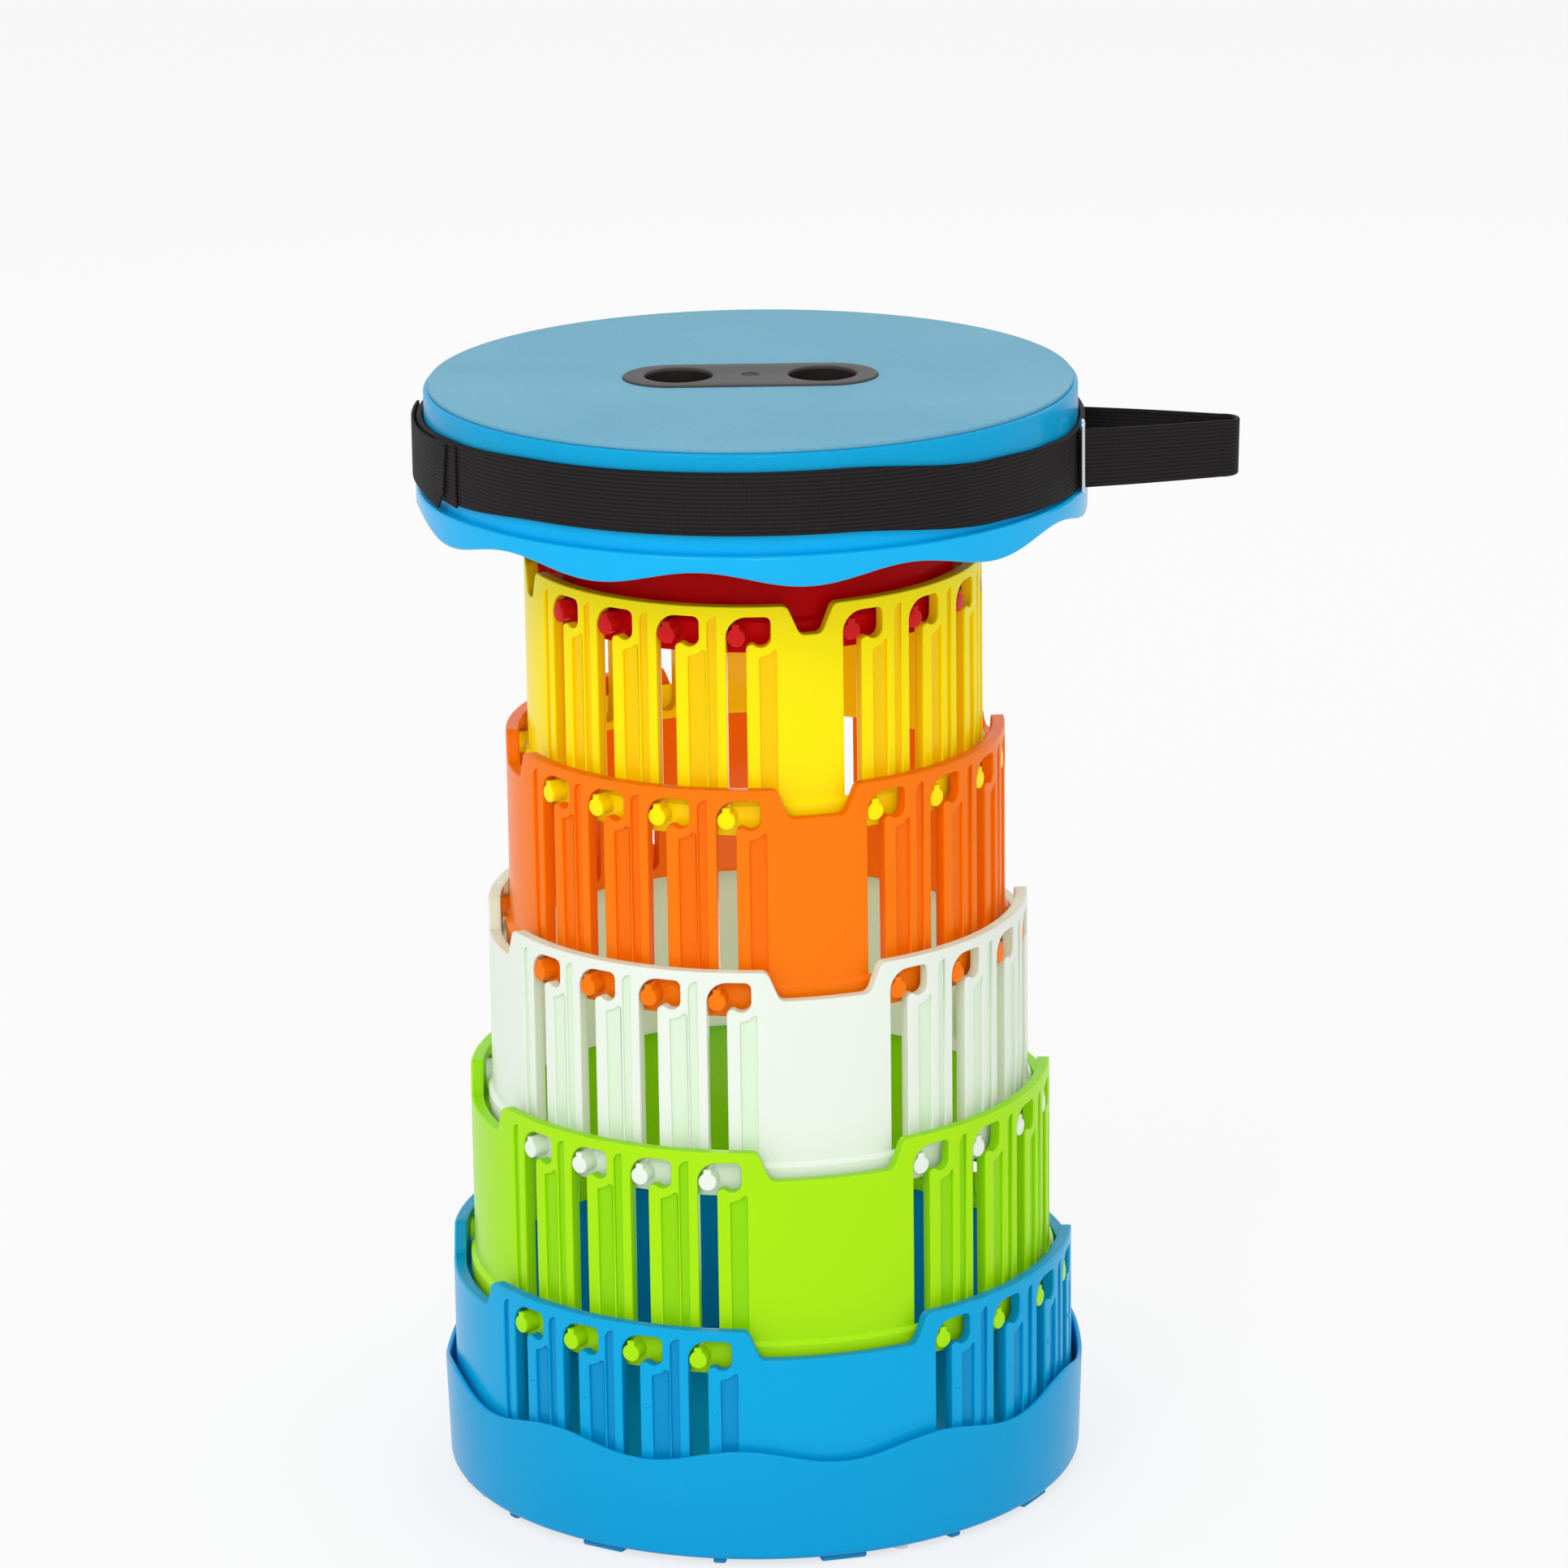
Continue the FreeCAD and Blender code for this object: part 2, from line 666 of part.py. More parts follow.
def foot_ring():
    """The ring that stands on the floor, with wide and narrow lobes that show under the cover."""
    body = new_body("foot_ring")
    sketch = flat_sketch(body, "ring")
    circle(sketch, "0", "0", "foot_ring_outer")
    circle(sketch, "0", "0", "foot_ring_inner")
    pad(body, "ring", sketch, "foot_height")
    for name, width, turn in (("wide", "wide_lobe", 0), ("narrow", "narrow_lobe", 180 / FOOT_LOBES)):
        sketch = flat_sketch(body, f"{name}_lobe")
        link(sketch, "AttachmentOffset.Rotation.Angle", turn)
        inner = "-(foot_ring_inner+foot_ring_outer)/2"
        box_outline(sketch, f"-{width}/2", "-foot_lobe_reach", f"{width}/2", inner)
        lobe = pad(body, f"{name}_lobe", sketch, "cover_bottom-seat_gap")
        repeat_round(body, f"{name}_lobes", [lobe], [(FOOT_LOBES, FULL_TURN)])
    place(body, turn="panel_turn")
    parts.append(body)


# Seat

def seat_shell():
    """The seat's moulded top and side wall, with holes for the handle insert and the screws."""
    body = new_body("seat_shell")
    boss = f"({SHELL_UNDERSIDE}-handle_boss_height)"
    revolve(body, "wall", [
        ("0", boss), ("handle_boss_radius", boss), ("handle_boss_radius", SHELL_UNDERSIDE),
        (SHELL_INNER, SHELL_UNDERSIDE), (SHELL_INNER, SHELL_WALL_BOTTOM), (SHELL_OUTER, SHELL_WALL_BOTTOM),
        (SHELL_OUTER, f"{SHELL_TOP}-seat_edge_round", "seat_edge_round", 1),
        (f"{SHELL_OUTER}-seat_edge_round", SHELL_TOP), ("0", SHELL_TOP),
    ])
    sketch = flat_sketch(body, "collar_holes", SHELL_TOP)
    for side in (-1, 1):
        circle(sketch, f"{side}*finger_spacing/2", "0", "finger_radius+collar_wall+seat_gap")
    pocket(body, "collar_holes", sketch, "plate_thickness+cut_overrun")
    sketch = flat_sketch(body, "handle_hole", SHELL_TOP)
    circle(sketch, "0", "0", HOLE_RADIUS)
    grip = "handle_screw_length-(insert_proud+mat_thickness-handle_screw_sink-screw_head_height)"
    pocket(body, "handle_hole", sketch, f"{grip}+slide_gap")
    depth = "seat_screw_length-seat_flange_thickness+slide_gap"
    screw_holes(body, SEAT_SCREW_CIRCLE, SHELL_UNDERSIDE, depth, upwards=True, turn="panel_turn")
    parts.append(body)


def seat_skirt():
    """The wavy skirt round the foot of the seat's wall."""
    body = new_body("seat_skirt_blank")
    low = "(skirt_level-wave_height-cut_overrun)"
    ledge = f"({SHELL_OUTER}+seat_gap)"
    revolve(body, "wall", [
        (SHELL_INNER, low), (SKIRT_OUTER, low), (SKIRT_OUTER, f"{SKIRT_TOP}-skirt_chamfer"),
        (f"{SKIRT_OUTER}-skirt_chamfer", SKIRT_TOP), (ledge, SKIRT_TOP), (ledge, SHELL_WALL_BOTTOM),
        (SHELL_INNER, SHELL_WALL_BOTTOM),
    ])
    bounds = (f"{SHELL_INNER}-cut_overrun", f"{SKIRT_OUTER}+cut_overrun")
    cutter = wave_cutter("skirt_wave", *bounds, "skirt_level", f"{low}-cut_overrun", "skirt_wave_turn")
    cut_wavy("seat_skirt", body, cutter)


def seat_mat():
    """The thin grip mat on the seat, open round the handle insert."""
    body = new_body("seat_mat")
    sketch = flat_sketch(body, "disc", SHELL_TOP)
    circle(sketch, "0", "0", f"{SHELL_OUTER}-mat_inset-seat_edge_round")
    stadium(sketch, "insert_length+2*seat_gap", "insert_width+2*seat_gap")
    pad(body, "disc", sketch, "mat_thickness")
    parts.append(body)


def handle_insert():
    """The oval insert with two finger holes, whose collars pass through the seat."""
    body = new_body("handle_insert")
    sketch = flat_sketch(body, "plate", SHELL_TOP)
    stadium(sketch, "insert_length", "insert_width")
    plate = pad(body, "plate", sketch, "mat_thickness+insert_proud")
    top = value("stool_height")
    rims = [
        f"Edge{index}" for index, edge in enumerate(plate.Shape.Edges, start=1)
        if abs(edge.BoundBox.ZMin - top) < value("seat_gap")
    ]
    rounding = body.newObject("PartDesign::Fillet", "handle_insert_edge")
    rounding.Base = (plate, rims)
    link(rounding, "Radius", "insert_edge")
    doc.recompute()
    sketch = flat_sketch(body, "collars", SHELL_TOP)
    for side in (-1, 1):
        circle(sketch, f"{side}*finger_spacing/2", "0", "finger_radius+collar_wall")
    pad(body, "collars", sketch, "plate_thickness+collar_depth", backwards=True)
    sketch = flat_sketch(body, "finger_holes", "stool_height")
    for side in (-1, 1):
        circle(sketch, f"{side}*finger_spacing/2", "0", "finger_radius")
    depth = "insert_proud+mat_thickness+plate_thickness+collar_depth+cut_overrun"
    pocket(body, "finger_holes", sketch, depth)
    sketch = flat_sketch(body, "screw_head_hole", "stool_height")
    circle(sketch, "0", "0", "screw_head_radius+seat_gap")
    pocket(body, "screw_head_hole", sketch, "handle_screw_sink+screw_head_height")
    sketch = flat_sketch(body, "screw_hole", "stool_height")
    circle(sketch, "0", "0", HOLE_RADIUS)
    pocket(body, "screw_hole", sketch, "insert_proud+mat_thickness+cut_overrun")
    parts.append(body)


# Carry strap

def strap_band():
    """The strap's band round the seat's wall."""
    body = new_body("strap_band")
    sketch = flat_sketch(body, "band", "strap_level-strap_width/2")
    circle(sketch, "0", "0", BAND_OUTER)
    circle(sketch, "0", "0", f"{SHELL_OUTER}+slide_gap")
    pad(body, "band", sketch, "strap_width")
    parts.append(body)


def strap_loop():
    """The carry loop that stands out to the right of the band."""
    body = new_body("strap_loop")
    half = "webbing_thickness/2"
    root = f"({SHELL_OUTER}-loop_front)"
    tip = f"({BAND_OUTER}+loop_reach-loop_tip_radius-{half})"
    side = "-loop_tip_side"
    outer = f"(loop_tip_radius+{half})"
    inner = f"(loop_tip_radius-{half})"
    sketch = flat_sketch(body, "loop", f"{LOOP_LEVEL}-strap_width/2")
    outline(sketch, [
        (root, f"-loop_front-{half}"), (tip, f"{side}-{outer}", outer, 1), (f"{tip}+{outer}", side, outer, 1),
        (tip, f"{side}+{outer}"), (root, f"loop_back+{half}"), (root, f"loop_back-{half}"),
        (tip, f"{side}+{inner}", inner, -1), (f"{tip}+{inner}", side, inner, -1),
        (tip, f"{side}-{inner}"), (root, f"-loop_front+{half}"),
    ])
    pad(body, "loop", sketch, "strap_width")
    sketch = flat_sketch(body, "seat_room", f"{LOOP_LEVEL}+strap_width/2")
    circle(sketch, "0", "0", f"{BAND_OUTER}+seat_gap")
    pocket(body, "seat_room", sketch, "strap_width+cut_overrun")
    parts.append(body)


def strap_end_tab():
    """The strap's folded end on the left, with one pointed lower corner."""
    body = new_body("strap_end_tab")
    inner = f"({BAND_OUTER}+seat_gap)"
    outer = f"({inner}+webbing_thickness)"
    top = "strap_level+strap_width/2"
    bottom = "strap_level-strap_width/2"
    sketch = radial_sketch(body, "tab", f"{outer}+cut_overrun", "-tab_turn")
    outline(sketch, [
        ("-tab_half_length", top), ("-tab_half_length", bottom), ("0", bottom),
        ("tab_corner", f"{bottom}-tab_point_drop"), ("tab_half_length", top),
    ])
    pad(body, "tab", sketch, f"{outer}/2", backwards=True)
    sketch = flat_sketch(body, "band_room", f"{top}+cut_overrun")
    circle(sketch, "0", "0", inner)
    depth = "strap_width+tab_point_drop+2*cut_overrun"
    pocket(body, "band_room", sketch, depth)
    sketch = flat_sketch(body, "face", f"{top}+cut_overrun")
    circle(sketch, "0", "0", f"{outer}*2")
    circle(sketch, "0", "0", outer)
    pocket(body, "face", sketch, depth)
    parts.append(body)


def strap_ring():
    """The flat metal ring round the loop's front root."""
    body = new_body("strap_ring")
    sketch = body.newObject("Sketcher::SketchObject", "strap_ring_frame_sketch")
    sketch.AttachmentSupport = [(origin_part(body, "YZ_Plane"), "")]
    sketch.MapMode = "FlatFace"
    link(sketch, "AttachmentOffset.Base.z", "ring_place-ring_wire/2")
    middle = "-loop_front"
    for grow in ("slide_gap", "slide_gap+ring_wire"):
        across = f"(webbing_thickness/2+{grow})"
        along = f"(strap_width/2+{grow})"
        box_outline(
            sketch, f"{middle}-{across}", f"{LOOP_LEVEL}-{along}", f"{middle}+{across}", f"{LOOP_LEVEL}+{along}"
        )
    pad(body, "frame", sketch, "ring_wire")
    parts.append(body)


# Build, check and write

def check_document():
    doc.recompute()
    for item in doc.Objects:
        if "Invalid" in item.State or "Error" in item.State:
            raise RuntimeError(f"{item.Label} failed: {item.State}")
    for part in parts:
        if part.Shape.isNull() or not part.Shape.isValid():
            raise RuntimeError(f"{part.Label} has no valid shape")


def write_parts():
    os.makedirs("parts", exist_ok=True)
    for part in parts:
        part.Shape.exportStep(f"parts/{part.Label}.step")
        box = part.Shape.BoundBox
        print(f"{part.Label}: {len(part.Shape.Solids)} solids, z {box.ZMin:.1f} to {box.ZMax:.1f}")


def main():
    fill_sheet()
    base_cover()
    ring = [slotted_ring(step, colour) for step, colour in enumerate(RING_COLOURS)][0]
    depth = f"base_screw_length-({BASE_PLATE_TOP}-cover_bottom)+slide_gap"
    screw_holes(ring, BASE_SCREW_CIRCLE, f"-{BASE_RING_HEIGHT}", depth, upwards=True, turn="base_screw_turn")
    base_plate()
    foot_ring()
    turn = "panel_turn+base_screw_turn"
    screw_set("base_screws", BASE_SCREW_CIRCLE, turn, "cover_bottom", "base_screw_length")
    red_ring()
    seat_shell()
    seat_skirt()
    seat_mat()
    handle_insert()
    handle_screw()
    seat = f"({SHELL_UNDERSIDE}-seat_flange_thickness)"
    screw_set("seat_screws", SEAT_SCREW_CIRCLE, "panel_turn", seat, "seat_screw_length")
    strap_band()
    strap_loop()
    strap_end_tab()
    strap_ring()
    check_document()
    write_parts()


main()
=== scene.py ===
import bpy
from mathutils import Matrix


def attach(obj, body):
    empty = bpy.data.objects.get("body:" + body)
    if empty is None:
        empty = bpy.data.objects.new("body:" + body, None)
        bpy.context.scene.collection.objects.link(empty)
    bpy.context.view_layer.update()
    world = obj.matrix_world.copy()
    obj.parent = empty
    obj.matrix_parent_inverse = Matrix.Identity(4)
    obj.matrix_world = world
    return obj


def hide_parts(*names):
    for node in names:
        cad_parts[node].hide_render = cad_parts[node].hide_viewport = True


bl_info = {
    "name": "Retractable stool",
    "version": (1, 0, 0),
    "blender": (4, 5, 0),
    "location": "3D View > Sidebar > Stool",
    "description": "Dresses a telescopic stool: slotted rings, base, seat, carry strap and studio",
    "category": "Object",
}

import math
from contextlib import contextmanager

import bmesh
import bpy
from mathutils import Matrix, Vector

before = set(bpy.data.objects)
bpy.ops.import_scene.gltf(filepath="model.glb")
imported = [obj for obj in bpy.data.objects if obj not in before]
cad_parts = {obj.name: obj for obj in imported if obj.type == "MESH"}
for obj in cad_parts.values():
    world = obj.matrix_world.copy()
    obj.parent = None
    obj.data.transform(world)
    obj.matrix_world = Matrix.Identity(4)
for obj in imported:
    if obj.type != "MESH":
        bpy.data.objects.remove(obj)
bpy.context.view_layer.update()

MM = 0.001
BODIES = ["base", "green", "white", "orange", "yellow", "seat"]


# Properties

def length(name, description, default):
    return bpy.props.FloatProperty(
        name=name, description=description, default=default * MM, unit="LENGTH", precision=5
    )


def turn(name, description, default):
    return bpy.props.FloatProperty(
        name=name, description=description, default=math.radians(default), subtype="ANGLE"
    )


def linear(level):
    """A display level from 0 to 255 as a share of linear light."""
    share = level / 255
    return share / 12.92 if share < 0.04045 else ((share + 0.055) / 1.055) ** 2.4


def paint(name, description, red, green, blue):
    """A colour given in display levels."""
    tone = [linear(level) for level in (red, green, blue)]
    return bpy.props.FloatVectorProperty(
        name=name, description=description, default=tone, subtype="COLOR", min=0, max=1
    )


class RingSizes(bpy.types.PropertyGroup):
    base_radius: length("Base ring radius", "Outer radius of the blue ring", 123.0)
    pitch: length("Ring pitch", "Step in radius from one ring to the next", 8.6)
    wall: length("Wall", "Thickness of each ring's wall", 5.0)
    base_rim: length("Base rim height", "Height of the blue ring's rim", 94.5)
    rise: length("Stage rise", "Height that each opened stage adds", 69.0)
    height: length("Ring height", "Height of one ring", 88.5)
    base_height: length("Base ring height", "Height of the blue ring, which has no band", 89.0)
    red_rim: length("Seat underside", "Height of the red ring's top", 433.0)
    red_height: length("Red ring height", "Height of the red ring", 82.0)
    flange: length("Seat flange", "Width of the red ring's inner flange", 14.0)
    flange_thickness: length("Flange thickness", "Thickness of that flange", 3.0)
    panel_turn: turn("Panel turn", "Turn of the plain panels about the axis", 14.0)
    rounding: length("Edge rounding", "Radius on the wall's moulded edges", 0.55)
    skin: length("Groove depth", "Depth of the shallow grooves", 1.2)
    band_height: length("Band height", "Height of the thick band at a ring's foot", 13.0)
    band_proud: length("Band step", "How far that band stands out", 1.6)
    group_arc: length("Slot group arc", "Arc taken by one group of slots", 113.7)
    slot_width: length("Slot width", "Width of a slot", 7.6)
    slot_end: length("Slot end", "Depth of a slot's lowest point below the rim", 85.0)
    left_start: length("Left group start", "Arc before the left group's first slot", 12.2)
    left_pitch: length("Left slot pitch", "Spacing of the left group's slots", 27.3)
    right_start: length("Right group start", "Arc before the right group's first slot", 0.0)
    right_pitch: length("Right slot pitch", "Spacing of the right group's slots", 29.7)
    pocket_width: length("Pocket width", "Width of the pocket at a slot's top", 17.0)
    pocket_top: length("Pocket top", "Depth of the pocket's top below the rim", 4.0)
    arch: length("Arch radius", "Radius of the pocket's left shoulder", 8.0)
    pocket_corner: length("Pocket corner", "Radius of the pocket's right corner", 2.5)
    cradle: length("Cradle radius", "Radius of the rest that a peg drops into", 3.8)
    shoulder: length("Shoulder radius", "Radius of the shoulder beside the cradle", 2.0)
    peg_radius: length("Peg radius", "Radius of a peg", 3.5)
    peg_depth: length("Peg depth", "Depth of a peg's centre below the larger ring's rim", 11.9)
    web_width: length("Web width", "Width of the web above a peg", 3.0)
    web_height: length("Web height", "Height of that web above the peg's centre", 4.9)
    strip: length("Shoulder strip", "Wall between a slot and its wide groove", 5.0)
    wide_groove: length("Wide groove", "Width of the wide groove", 6.5)
    wide_drop: length("Wide groove drop", "Drop from the cradle to the wide groove's top", 4.2)
    wide_slope: length("Wide groove slope", "Rise of the wide groove's slanted top", 3.7)
    thin_groove: length("Thin groove", "Width of the thin groove", 3.5)
    thin_strip: length("Thin strip", "Wall between a thin groove and its slot", 3.7)
    notch_depth: length("Notch depth", "Depth of the notch above a panel", 11.5)
    notch_margin: length("Notch margin", "Arc between a notch and the first slot", 3.5)
    notch_flare: length("Notch flare", "Slope of a notch's sides", 5.0)
    notch_round: length("Notch rounding", "Radius of a notch's corners", 3.4)


class BaseSizes(bpy.types.PropertyGroup):
    radius: length("Cover radius", "Outer radius of the cover at its top", 127.3)
    taper: length("Cover taper", "How far the cover draws in at its foot", 1.3)
    wall: length("Cover wall", "Thickness of the cover's wall", 2.0)
    foot: length("Cover foot", "Height of the cover's lower edge", 2.0)
    foot_round: length("Foot rounding", "Radius on the cover's lower edge", 3.0)
    lip_radius: length("Lip radius", "Inner radius of the lip under the base plate", 117.5)
    lip_top: length("Lip top", "Height of that lip's upper face", 3.5)
    level: length("Cover level", "Mean height of the cover's wavy edge", 44.6)
    wave: length("Wave height", "Height of the waves above and below the mean", 2.8)
    wave_turn: turn("Cover wave turn", "Angle at which the cover's edge is lowest", 14.0)
    lobe_reach: length("Lobe reach", "Radius of the foot lobes' ends", 123.6)
    ring_inner: length("Foot ring inner", "Inner radius of the foot ring", 108.0)
    ring_outer: length("Foot ring outer", "Outer radius of the foot ring", 117.2)
    lobe_height: length("Lobe height", "Height of the lobes", 1.9)
    wide_lobe: length("Wide lobe", "Width of a wide lobe", 18.0)
    narrow_lobe: length("Narrow lobe", "Width of a narrow lobe", 5.0)


class SeatSizes(bpy.types.PropertyGroup):
    inner: length("Shell inner radius", "Inner radius of the seat's wall", 123.7)
    outer: length("Shell outer radius", "Outer radius of the seat's wall", 125.6)
    top: length("Shell top", "Height of the shell's top", 437.6)
    plate: length("Shell plate", "Thickness of the shell's top", 4.6)
    wall_foot: length("Wall foot", "Height of the wall's lower edge", 396.0)
    edge: length("Top edge", "Radius on the shell's top edge", 1.2)
    # painted light: under this level the seat wall is painted in the skirt's brighter blue, where
    # the strap shades it
    lit_level: length("Lit level", "Height below which the wall has the skirt's blue", 406.0)
    boss_radius: length("Boss radius", "Radius of the boss for the handle's screw", 5.0)
    boss_height: length("Boss height", "Height of that boss", 9.0)
    skirt_outer: length("Skirt radius", "Outer radius of the wavy skirt", 129.3)
    skirt_top: length("Skirt top", "Height of the skirt's top edge", 400.0)
    skirt_level: length("Skirt level", "Mean height of the skirt's wavy edge", 390.8)
    skirt_turn: turn("Skirt wave turn", "Angle at which the skirt's edge is lowest", 9.0)
    mat_radius: length("Mat radius", "Radius of the grip mat", 123.8)
    mat_top: length("Mat top", "Height of the mat's top", 439.2)
    insert_length: length("Insert length", "Length of the handle insert", 98.0)
    insert_width: length("Insert width", "Width of the handle insert", 38.0)
    insert_top: length("Insert top", "Height of the insert's top", 440.0)
    finger_radius: length("Finger hole radius", "Radius of the finger holes", 13.2)
    finger_spacing: length("Finger hole spacing", "Distance between the finger holes", 55.2)
    collar: length("Collar wall", "Thickness of the finger holes' collars", 1.8)
    collar_foot: length("Collar foot", "Height of the collars' lower edge", 431.0)
    screw_radius: length("Screw head radius", "Radius of the handle screw's head", 3.1)


class StrapSizes(bpy.types.PropertyGroup):
    inner: length("Band inner radius", "Inner radius of the strap's band", 125.9)
    outer: length("Band outer radius", "Outer radius of the strap's band", 128.3)
    width: length("Strap width", "Width of the webbing", 24.0)
    level: length("Strap level", "Height of the band's middle", 419.5)
    webbing: length("Webbing thickness", "Thickness of one layer of webbing", 2.0)
    loop_level: length("Loop level", "Height of the loop's middle", 412.6)
    loop_front: length("Loop front", "Distance in front of the axis where the loop leaves", 33.0)
    loop_back: length("Loop back", "Distance behind the axis where it comes back", 17.0)
    loop_tip: length("Loop tip", "Distance of the loop's far end from the axis", 187.0)
    tip_side: length("Tip side", "Distance of the loop's far end in front of the axis", 10.0)
    tip_radius: length("Tip radius", "Radius of the loop's far end", 6.5)
    front_lean: turn("Front lean", "Lean of the loop's front layer at its root", 10.0)
    back_lean: turn("Back lean", "Lean of the loop's back layer at its root", 20.0)
    tip_lean: turn("Tip lean", "Lean of the loop at its far end", 14.0)
    ring_place: length("Steel ring place", "Distance of the steel ring from the axis", 125.7)
    ring_level: length("Steel ring level", "Height of the steel ring's middle", 413.6)
    ring_wire: length("Steel wire", "Thickness of the steel ring's wire", 2.0)
    tab_start: turn("Tab start", "Angle where the strap's folded end begins", -61.8)
    tab_end: turn("Tab end", "Angle where the strap's folded end stops", -98.0)


class StoolColours(bpy.types.PropertyGroup):
    base_face: paint("Base face", "Blue of the base ring", 2, 168, 224)
    # painted shade: the darker blue in the base ring's recesses, also the base plate's blue
    base_deep: paint("Base recess", "Blue in the base ring's recesses", 2, 146, 204)
    cover: paint("Cover", "Blue of the base cover", 1, 160, 216)
    green_face: paint("Green face", "Green of the second ring", 170, 232, 8)
    # painted shade: the darker green in the green ring's recesses
    green_deep: paint("Green recess", "Green in its recesses", 146, 218, 4)
    white_face: paint("White face", "White of the third ring", 233, 240, 230)
    # painted shade and painted light: the white ring's recesses, darkened and tinted green by the
    # green ring
    white_deep: paint("White recess", "Pale green in its recesses", 222, 240, 214)
    orange_face: paint("Orange face", "Orange of the fourth ring", 250, 122, 2)
    # painted shade: the darker orange in the orange ring's recesses
    orange_deep: paint("Orange recess", "Orange in its recesses", 248, 112, 0)
    yellow_face: paint("Yellow face", "Yellow of the fifth ring", 255, 234, 0)
    # painted shade: the darker yellow in the yellow ring's recesses
    yellow_deep: paint("Yellow recess", "Yellow in its recesses", 252, 206, 0)
    red_face: paint("Red face", "Bright red of the pegs", 216, 24, 26)
    red_wall: paint("Red wall", "Dark red of the innermost wall", 200, 2, 6)
    seat: paint("Seat", "Blue of the seat's side", 1, 160, 212)
    # also the painted light on the seat wall under lit_level
    skirt: paint("Skirt", "Blue of the seat's skirt", 1, 178, 240)
    mat: paint("Mat", "Grey blue of the grip mat", 108, 168, 192)
    insert: paint("Insert", "Dark grey of the handle insert", 68, 66, 66)
    webbing: paint("Webbing", "Black of the strap", 28, 25, 26)
    foot: paint("Foot", "Dark blue of the foot ring", 2, 134, 188)
    steel: paint("Steel", "Grey of the steel ring and screws", 205, 205, 208)


# Shader expressions

class Wire:
    """One value in a graph's nodes; sums and products of it add Math nodes."""

    def __init__(self, graph, socket):
        self.graph = graph
        self.socket = socket

    def math(self, operation, *values):
        return self.graph.node("ShaderNodeMath", {"operation": operation}, dict(enumerate(values)))

    def __add__(self, other):
        return self.math("ADD", self, other)

    def __radd__(self, other):
        return self.math("ADD", other, self)

    def __sub__(self, other):
        return self.math("SUBTRACT", self, other)

    def __rsub__(self, other):
        return self.math("SUBTRACT", other, self)

    def __mul__(self, other):
        return self.math("MULTIPLY", self, other)

    def __rmul__(self, other):
        return self.math("MULTIPLY", other, self)

    def power(self, other):
        return self.math("POWER", self, other)

    def sine(self):
        return self.math("SINE", self)

    def smooth(self, low, high):
        """Eases from 0 at low to 1 at high."""
        sockets = {"Value": self, "From Min": low, "From Max": high}
        return self.graph.node("ShaderNodeMapRange", {"interpolation_type": "SMOOTHSTEP"}, sockets)


class Graph:
    """A node tree that node() adds to."""

    def __init__(self, tree):
        self.tree = tree

    def node(self, kind, settings=None, sockets=None, output=0):
        """Adds a node, its settings first and then its sockets' values or links."""
        node = self.tree.nodes.new(kind)
        for name, setting in (settings or {}).items():
            setattr(node, name, setting)
        for name, level in (sockets or {}).items():
            if isinstance(level, Wire):
                self.tree.links.new(level.socket, node.inputs[name])
            else:
                node.inputs[name].default_value = level
        return Wire(self, node.outputs[output]) if node.outputs else None


class Finish(Graph):
    """A material: its constants sit on the shader, and node() adds everything else."""

    def __init__(self, name, **constants):
        self.material = bpy.data.materials.new(name)
        self.material.use_nodes = True
        super().__init__(self.material.node_tree)
        self.shader = self.tree.nodes["Principled BSDF"]
        for socket, level in constants.items():
            self.shader.inputs[socket.replace("_", " ")].default_value = level

    def place(self, output="Object"):
        return self.node("ShaderNodeTexCoord", output=output)

    def axes(self, vector):
        return [self.node("ShaderNodeSeparateXYZ", {}, {0: vector}, axis) for axis in range(3)]

    def noise(self, scale, vector, detail=2.0):
        sockets = {"Vector": vector, "Scale": scale, "Detail": detail}
        return self.node("ShaderNodeTexNoise", {}, sockets)

    def mix(self, share, first, second):
        """A colour between two colours, at a share from the first to the second."""
        first, second = (tone if isinstance(tone, Wire) else (*tone, 1) for tone in (first, second))
        sockets = {"Factor": share, 6: first, 7: second}
        return self.node("ShaderNodeMix", {"data_type": "RGBA"}, sockets, 2)

    def link(self, socket, wire):
        self.tree.links.new(wire.socket, self.shader.inputs[socket])

    def bump(self, height, distance, strength=1.0):
        sockets = {"Height": height, "Distance": distance, "Strength": strength}
        self.link("Normal", self.node("ShaderNodeBump", {}, sockets))


# Finishes: their noises are in cells per metre

FLOW_MARKS = 9.0
SCUFFS = 420.0
PEBBLES = 620.0
RUBBED_PATCHES = 14.0
RUBBER_GRAIN = 1500.0
RIB_SPACING = 1.55 * MM
PICK_SPACING = 0.95 * MM
FUZZ = 900.0
HAIRLINES = 2600.0
HAIRLINE_STRETCH = (1.0, 1.0, 0.06)
DULL_SPOTS = 160.0
ERODED_GRAIN = 1100.0
CLOUDS = 40.0
# how far the painted shade in a hollow and the painted light under a level fade in
HOLLOW_FADE = 1.2 * MM
LIT_FADE = 3 * MM


def toned(tone, share, lift=0.0):
    """The colour made darker or paler."""
    return tuple(min(1.0, part * share + lift) for part in tone)


